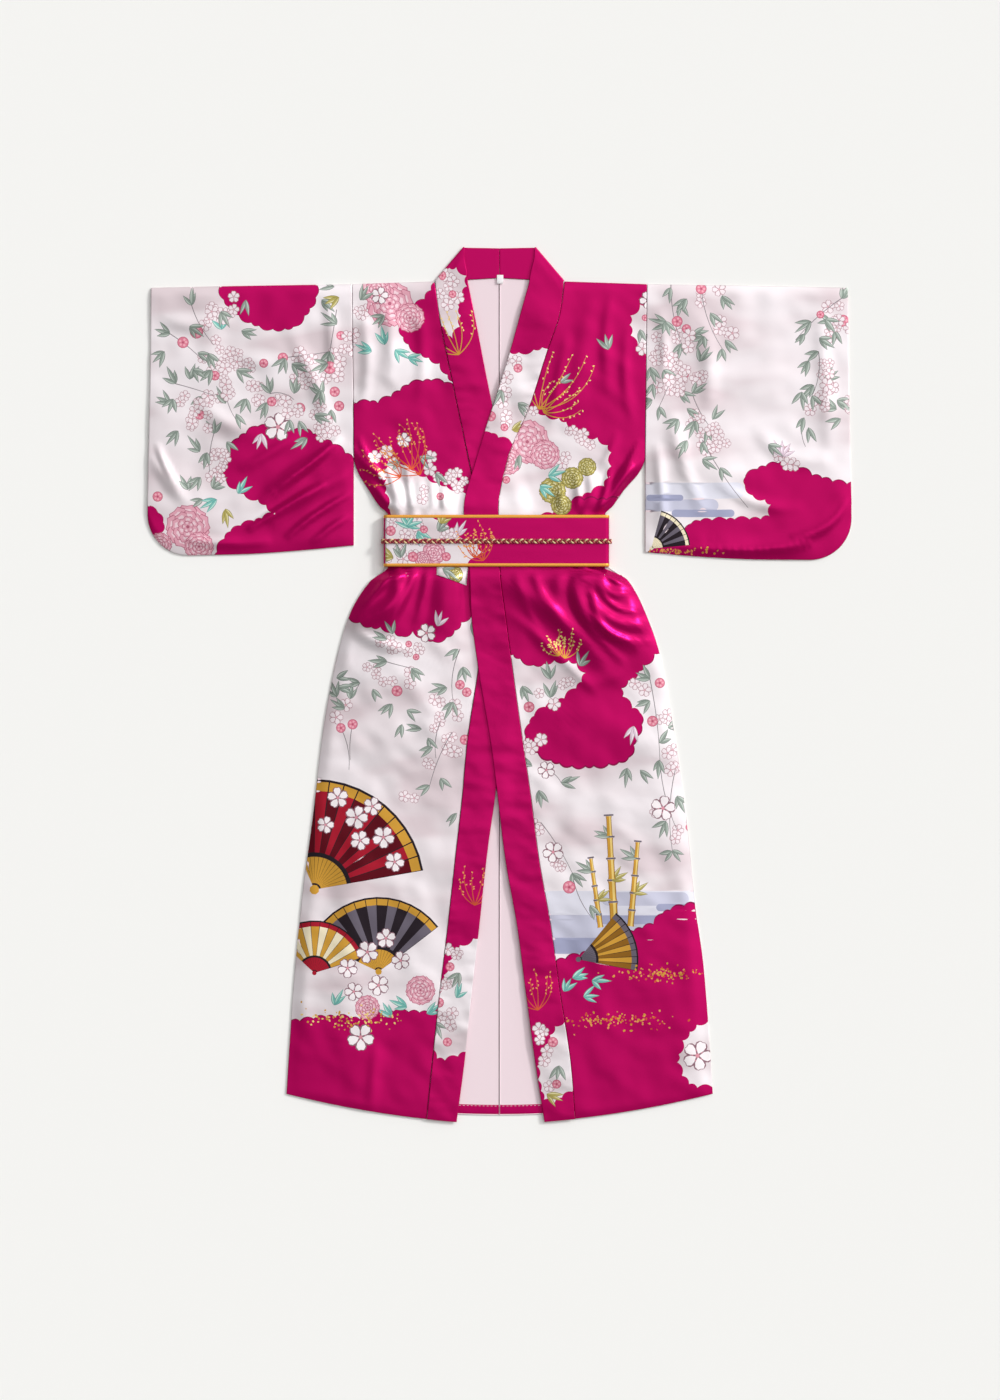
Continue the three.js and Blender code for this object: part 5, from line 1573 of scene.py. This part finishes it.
# woven cotton tape and sewing thread
wovenTape = plainMaterial("wovenTape", "#f4f0f0", {"Roughness": 0.8, "IOR": 1.5})
sewingThread = plainMaterial("sewingThread", "#e9d9dd", {"Roughness": 0.55, "IOR": 1.5})

# The pieces
garmentSheets = {
    "body_under": bodySheet("under"), "body_over": bodySheet("over"),
    "sleeve_left": sleeveSheet("left"), "sleeve_right": sleeveSheet("right"),
    "collar_under": bandSheet("under"), "collar_over": bandSheet("over"), "sash": sashSheet(),
}
printMarks = {name: [] for name in garmentSheets}
for name, front, back in (("body_under", "under", (31, -300, -34, -6, -1300)),
                          ("body_over", "over", (32, 36, 300, -6, -1300)),
                          ("sleeve_left", "sleeveLeft", (33, -570, -245, -10, -430)),
                          ("sleeve_right", "sleeveRight", (34, 245, 570, -10, -430))):
    printMarks[name] = onSheet(garmentSheets[name], drawFront(front))
    printMarks[name] += onSheet(garmentSheets[name], drawBack(*back), back=True)
for name in ("collar_under", "collar_over", "sash"):
    sheet = garmentSheets[name]
    sheet["ground"] = 1.0
    drawn = []
    key = {"collar_under": "underBandOpen", "collar_over": "overBandOpen", "sash": "sashOpen"}[name]
    for corners in clouds[key]:
        drawCloud(drawn, corners, False)
    drawGroup(drawn, random.Random(len(key)), prints[key[:-4]])
    printMarks[name] = onSheet(sheet, drawn)
pieces = {}
for name, sheet in garmentSheets.items():
    pieces[name] = buildSheet(name + "_satin", sheet, printMarks[name], [printedSatin, satinReverse],
                              garment["cloth"])
pieces["piping_top"] = ringCord("piping_top_cord", sash["top"] - piping["width"] / 2, metallicPiping)
pieces["piping_bottom"] = ringCord("piping_bottom_cord", sash["bottom"] + piping["width"] / 2, metallicPiping)

# The tucked-up corner under the sash, and the turned-up hem inside the back
tuck = {"left": -101.5, "right": -50.5, "slant": 3, "top": -462.5, "lowLeft": -475, "lowRight": -492,
        "clear": 2.5}
turnUp = {"wide": 15.0, "edge": 1.6, "height": 0.95, "from": -342, "to": 342}


def patchSheet(u, v, at):
    sheet = facing({"u": u, "v": v, "at": at}, len(v) // 2, len(u) // 2, (0, 0, 1))
    sheet["kept"] = np.ones((len(v), len(u)), bool)
    sheet["outlines"] = [[(u[0], v[0]), (u[-1], v[0]), (u[-1], v[-1]), (u[0], v[-1])]]
    return sheet


def tuckSheet():
    u, v = spaced(0, 51, 3.0), spaced(0, 22, 2.6)
    at = np.zeros((len(v), len(u), 3))
    for j, down in enumerate(v / v[-1]):
        across = u / u[-1]
        x = mix(tuck["left"], tuck["right"] - tuck["slant"] * down, across)
        y = mix(tuck["top"], mix(tuck["lowLeft"], tuck["lowRight"], across), down)
        edge = np.minimum(np.minimum(across, 1 - across) * 51, (1 - down) * 22)
        z = underLow(x, y) + tuck["clear"] + garment["wall"] - lipDropAt(edge, 1.0)
        at[j] = np.stack([x, y, z], 1)
    sheet = patchSheet(u, v, at)
    sheet["toSheet"] = lambda x, y, back: np.stack([x - tuck["left"], tuck["top"] - y], 1)
    return sheet


def facingSheet():
    u, v = spaced(0, turnUp["wide"], 3.0), spaced(turnUp["from"], turnUp["to"], 6.0)
    at = np.zeros((len(v), len(u), 3))
    for j, x in enumerate(v):
        edge = np.minimum(u, u[-1] - u)
        z = turnUp["height"] - 0.3 * lipDropAt(edge, 1.0) + 0.12 * np.sin(x / 5.3) * (u > 3)
        at[j] = np.stack([np.full(len(u), x), backHem(x) + turnUp["edge"] + u, z], 1)
    sheet = patchSheet(u, v, at)
    sheet["ground"] = 1.0
    return sheet


tuckPiece = tuckSheet()
drawn, rng = [], random.Random(5)
drawPeony(drawn, rng, -70, -474, 12, "olive")
drawSpray(drawn, rng, -92, -466, -30, 3)
pieces["waist_tuck"] = buildSheet("waist_tuck_satin", tuckPiece, onSheet(tuckPiece, drawn),
                                  [printedSatin, satinReverse], garment["cloth"])
hemFacing = buildSheet("back_hem_facing", facingSheet(), [], [printedSatin, satinReverse], 0.4)
print("small cloth pieces made")

# The hanging loop: a flat tape with soft edges, stitched down at its lower end
loopTape = {"left": -4.2, "right": 6.2, "low": -2.4, "high": 11.6, "under": 2.5, "thick": 1.0}
corner = [(loopTape[a], loopTape[b], loopTape["under"] + c) for c in (0, loopTape["thick"])
          for a, b in (("left", "low"), ("right", "low"), ("right", "high"), ("left", "high"))]
pieces["hanging_loop"] = solidFrom("hanging_loop_tape", corner, [
    (3, 2, 1, 0), (4, 5, 6, 7), (0, 1, 5, 4), (1, 2, 6, 5), (2, 3, 7, 6), (3, 0, 4, 7)], wovenTape)
soften = pieces["hanging_loop"].modifiers.new("softEdge", "BEVEL")
soften.width, soften.segments = 0.0004, 3


def pathObject(name, points):
    data = bpy.data.curves.new(name, "CURVE")
    data.dimensions = "3D"
    line = data.splines.new("POLY")
    line.points.add(len(points) - 1)
    for point, place in zip(line.points, (np.array(points) + cuttingPlace) / 1000):
        point.co = (*place, 1)
    made = bpy.data.objects.new(name, data)
    scene.collection.objects.link(made)
    return made


def treeWith(name, inputs):
    made = bpy.data.node_groups.new(name, "GeometryNodeTree")
    made.interface.new_socket("Geometry", in_out="INPUT", socket_type="NodeSocketGeometry")
    for label, kind in inputs:
        made.interface.new_socket(label, in_out="INPUT", socket_type=kind)
    made.interface.new_socket("Geometry", in_out="OUTPUT", socket_type="NodeSocketGeometry")
    return made


def applied(source, tree, values, name, material):
    # the tree's result becomes a plain mesh of its own
    modifier = source.modifiers.new("make", "NODES")
    modifier.node_group = tree
    for item in tree.interface.items_tree:
        if item.in_out == "INPUT" and item.name in values:
            modifier[item.identifier] = values[item.name]
    found = source.evaluated_get(bpy.context.evaluated_depsgraph_get())
    mesh = bpy.data.meshes.new_from_object(found)
    mesh.name = name
    mesh.materials.clear()
    mesh.materials.append(material)
    piece = bpy.data.objects.new(name, mesh)
    scene.collection.objects.link(piece)
    bpy.data.objects.remove(source)
    return piece


# Braid: three strands that cross over one another along the middle of the sash
braid = {"centre": -421, "low": 7, "wide": 2.75, "deep": 1.0, "strand": 1.45, "pitch": 15.0, "away": 2.3}
strandTree = treeWith("strand",
                      [("Wide", "NodeSocketFloat"), ("Deep", "NodeSocketFloat"),
                       ("Radius", "NodeSocketFloat"),
                                 ("Pitch", "NodeSocketFloat"), ("Start", "NodeSocketFloat"),
                                 ("Material", "NodeSocketMaterial")])
given = addNode(strandTree, "NodeGroupInput")
resampled = addNode(strandTree, "GeometryNodeResampleCurve", {"Count": 520},
                    {"Curve": given.outputs["Geometry"]})
along = addNode(strandTree, "GeometryNodeSplineParameter")
turns = worked(strandTree, "DIVIDE", along.outputs["Length"], given.outputs["Pitch"])
angle = worked(strandTree, "MULTIPLY_ADD", turns.outputs[0], 2 * math.pi, given.outputs["Start"])
acrossWave = worked(strandTree, "SINE", angle.outputs[0])
double = worked(strandTree, "MULTIPLY", angle.outputs[0], 2.0)
outWave = worked(strandTree, "SINE", double.outputs[0])
acrossBy = worked(strandTree, "MULTIPLY", acrossWave.outputs[0], given.outputs["Wide"])
outBy = worked(strandTree, "MULTIPLY", outWave.outputs[0], given.outputs["Deep"])
tangent = addNode(strandTree, "GeometryNodeInputTangent")
outward = worked(strandTree, "CROSS_PRODUCT", tangent.outputs[0], (0, 1, 0), kind="ShaderNodeVectorMath")
outPart = addNode(strandTree, "ShaderNodeVectorMath", {"operation": "SCALE"},
                  {0: outward.outputs[0], "Scale": outBy.outputs[0]})
acrossPart = addNode(strandTree, "ShaderNodeCombineXYZ", {}, {"Y": acrossBy.outputs[0]})
together = worked(strandTree, "ADD", outPart.outputs[0], acrossPart.outputs[0], kind="ShaderNodeVectorMath")
moved = addNode(strandTree, "GeometryNodeSetPosition", {}, {"Geometry": resampled.outputs[0],
                                                          "Offset": together.outputs[0]})
section = addNode(strandTree, "GeometryNodeCurvePrimitiveCircle", {"Resolution": 8},
                  {"Radius": given.outputs["Radius"]})
swept = addNode(strandTree, "GeometryNodeCurveToMesh", {"Fill Caps": True},
                {"Curve": moved.outputs[0], "Profile Curve": section.outputs[0]})
smooth = addNode(strandTree, "GeometryNodeSetShadeSmooth", {}, {"Geometry": swept.outputs[0]})
real = addNode(strandTree, "GeometryNodeRealizeInstances", {}, {"Geometry": smooth.outputs[0]})
painted = addNode(strandTree, "GeometryNodeSetMaterial", {}, {"Geometry": real.outputs[0],
                                                            "Material": given.outputs["Material"]})
made = addNode(strandTree, "NodeGroupOutput")
strandTree.links.new(painted.outputs[0], made.inputs[0])

outline = sashOutline(-braid["away"], 3.0)
front = outline[outline[:, 1] > braid["low"]]
order = np.argsort(np.arctan2(front[:, 0] + 5, front[:, 1] - 5))
route = [(x, braid["centre"], z) for x, z in front[order]]
strands = []
for k, cordMaterial in enumerate(cordMaterials):
    values = {"Wide": braid["wide"] / 1000, "Deep": braid["deep"] / 1000, "Radius": braid["strand"] / 1000,
              "Pitch": braid["pitch"] / 1000, "Start": 2 * math.pi * k / 3, "Material": cordMaterial}
    strands.append(applied(pathObject("strandPath", route), strandTree, values, "braid_strand_%d" % (k + 1),
                           cordMaterial))
print("braid made of", len(strands), "strands")

# Stitches: short raised bars in a row, along the hem facing and across the loop
stitch = {"long": 3.2, "apart": 6.4, "thick": 0.35}
stitchTree = treeWith("stitchRow", [("Long", "NodeSocketFloat"), ("Apart", "NodeSocketFloat"),
                                    ("Thick", "NodeSocketFloat"), ("Material", "NodeSocketMaterial")])
given = addNode(stitchTree, "NodeGroupInput")
stops = addNode(stitchTree, "GeometryNodeCurveToPoints", {"mode": "LENGTH"},
                {"Curve": given.outputs["Geometry"],
                                                                            "Length": given.outputs["Apart"]})
bar = addNode(stitchTree, "GeometryNodeMeshCylinder", {"Vertices": 6}, {"Radius": given.outputs["Thick"],
                                                                       "Depth": given.outputs["Long"]})
placed = addNode(stitchTree, "GeometryNodeInstanceOnPoints", {}, {
    "Points": stops.outputs["Points"], "Instance": bar.outputs["Mesh"],
    "Rotation": stops.outputs["Rotation"]})
real = addNode(stitchTree, "GeometryNodeRealizeInstances", {}, {"Geometry": placed.outputs[0]})
painted = addNode(stitchTree, "GeometryNodeSetMaterial", {}, {"Geometry": real.outputs[0],
                                                            "Material": given.outputs["Material"]})
made = addNode(stitchTree, "NodeGroupOutput")
stitchTree.links.new(painted.outputs[0], made.inputs[0])
stitchValues = {"Long": stitch["long"] / 1000, "Apart": stitch["apart"] / 1000,
                "Thick": stitch["thick"] / 1000,
                "Material": sewingThread}
facingTop = turnUp["edge"] + turnUp["wide"] - 1.8
hemRow = [(x, backHem(x) + facingTop, turnUp["height"] + 0.15) for x in np.arange(-338.0, 339.0, 4.0)]
hemStitches = applied(pathObject("hemRow", hemRow), stitchTree, stitchValues, "hem_stitches", sewingThread)
loopRow = [(x, loopTape["low"] + 2.0, loopTape["under"] + loopTape["thick"] + 0.1) for x in (-3.6, 5.8)]
loopValues = dict(stitchValues, Long=0.0016, Apart=0.0026)
loopStitches = applied(pathObject("loopRow", loopRow), stitchTree, loopValues, "loop_stitches", sewingThread)
print("stitches made")

# Which solids the pieces stand for, what they ride on, and the cloths' flat sizes
for name, piece in pieces.items():
    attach(piece, "root")
    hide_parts(name)
for piece in strands + [hemFacing, hemStitches, loopStitches]:
    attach(piece, "root")
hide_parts("sash_braid")


def faceArea(piece):
    # square metres of the printed side
    return sum(p.area for p in piece.data.polygons if p.material_index == 0)


flatSizes = {       # width and length of the cloth that was cut, in metres
    "body_under": (0.352, 2.735), "body_over": (0.352, 2.735), "sleeve_left": (0.340, 0.885),
    "sleeve_right": (0.340, 0.900), "collar_under": (0.112, 1.480), "collar_over": (0.112, 1.480),
    "sash": (0.072, 0.764), "waist_tuck": (0.052, 0.030),
}
for name, flat in flatSizes.items():
    print("sheet", name, "flat", flat, "share", round(faceArea(pieces[name]) / flat[0] / flat[1], 3))

# Floor, light and camera, in metres
floorSize = {"reach": 6, "height": -0.0004}
sky = {"toward": (0.52, 0.42, 0.74), "from": 0.5, "to": 1.0, "dim": 0.25, "bright": 1.8}
view = {"lens": 85, "film": 36, "place": (0.0008, -0.0254, 5.363)}
floorMesh = bpy.data.meshes.new("floor")
floorMesh.from_pydata([(x * floorSize["reach"], y * floorSize["reach"], floorSize["height"])
                       for x, y in ((-1, -1), (1, -1), (1, 1), (-1, 1))], [], [(0, 1, 2, 3)])
floor = bpy.data.objects.new("floor", floorMesh)
scene.collection.objects.link(floor)
floorMesh.materials.append(plainMaterial("paleFloor", "#f6f5f1", {"Roughness": 0.9}))

world = bpy.data.worlds.new("studio")
scene.world = world
world.use_nodes = True
tree = world.node_tree
tree.nodes.clear()
skyPlace = addNode(tree, "ShaderNodeTexCoord")
toward = worked(tree, "DOT_PRODUCT", skyPlace.outputs["Generated"], Vector(sky["toward"]).normalized(),
                kind="ShaderNodeVectorMath")
brightness = addNode(tree, "ShaderNodeMapRange", {}, {"Value": toward.outputs["Value"]})
for k, value in enumerate(("from", "to", "dim", "bright"), 1):
    brightness.inputs[k].default_value = sky[value]
backdrop = addNode(tree, "ShaderNodeBackground", {"Color": (0.98, 0.985, 1.0, 1)},
                   {"Strength": brightness.outputs[0]})
worldOutput = addNode(tree, "ShaderNodeOutputWorld", {}, {"Surface": backdrop.outputs[0]})


def softSun(name, way, spread, strength):
    # a large light far away, so that the floor is lit evenly
    data = bpy.data.lights.new(name, "SUN")
    data.angle, data.energy = math.radians(spread), strength
    light = bpy.data.objects.new(name, data)
    light.rotation_euler = Vector(way).to_track_quat("-Z", "Y").to_euler()
    scene.collection.objects.link(light)


softSun("keyLight", (-0.8, -0.5, -0.55), 10, 1.7)

cameraData = bpy.data.cameras.new("camera")
cameraData.lens, cameraData.sensor_fit = view["lens"], "VERTICAL"
cameraData.sensor_width = cameraData.sensor_height = view["film"]
camera = bpy.data.objects.new("camera", cameraData)
camera.location = view["place"]
scene.collection.objects.link(camera)
scene.camera = camera
scene.view_settings.view_transform = "Standard"
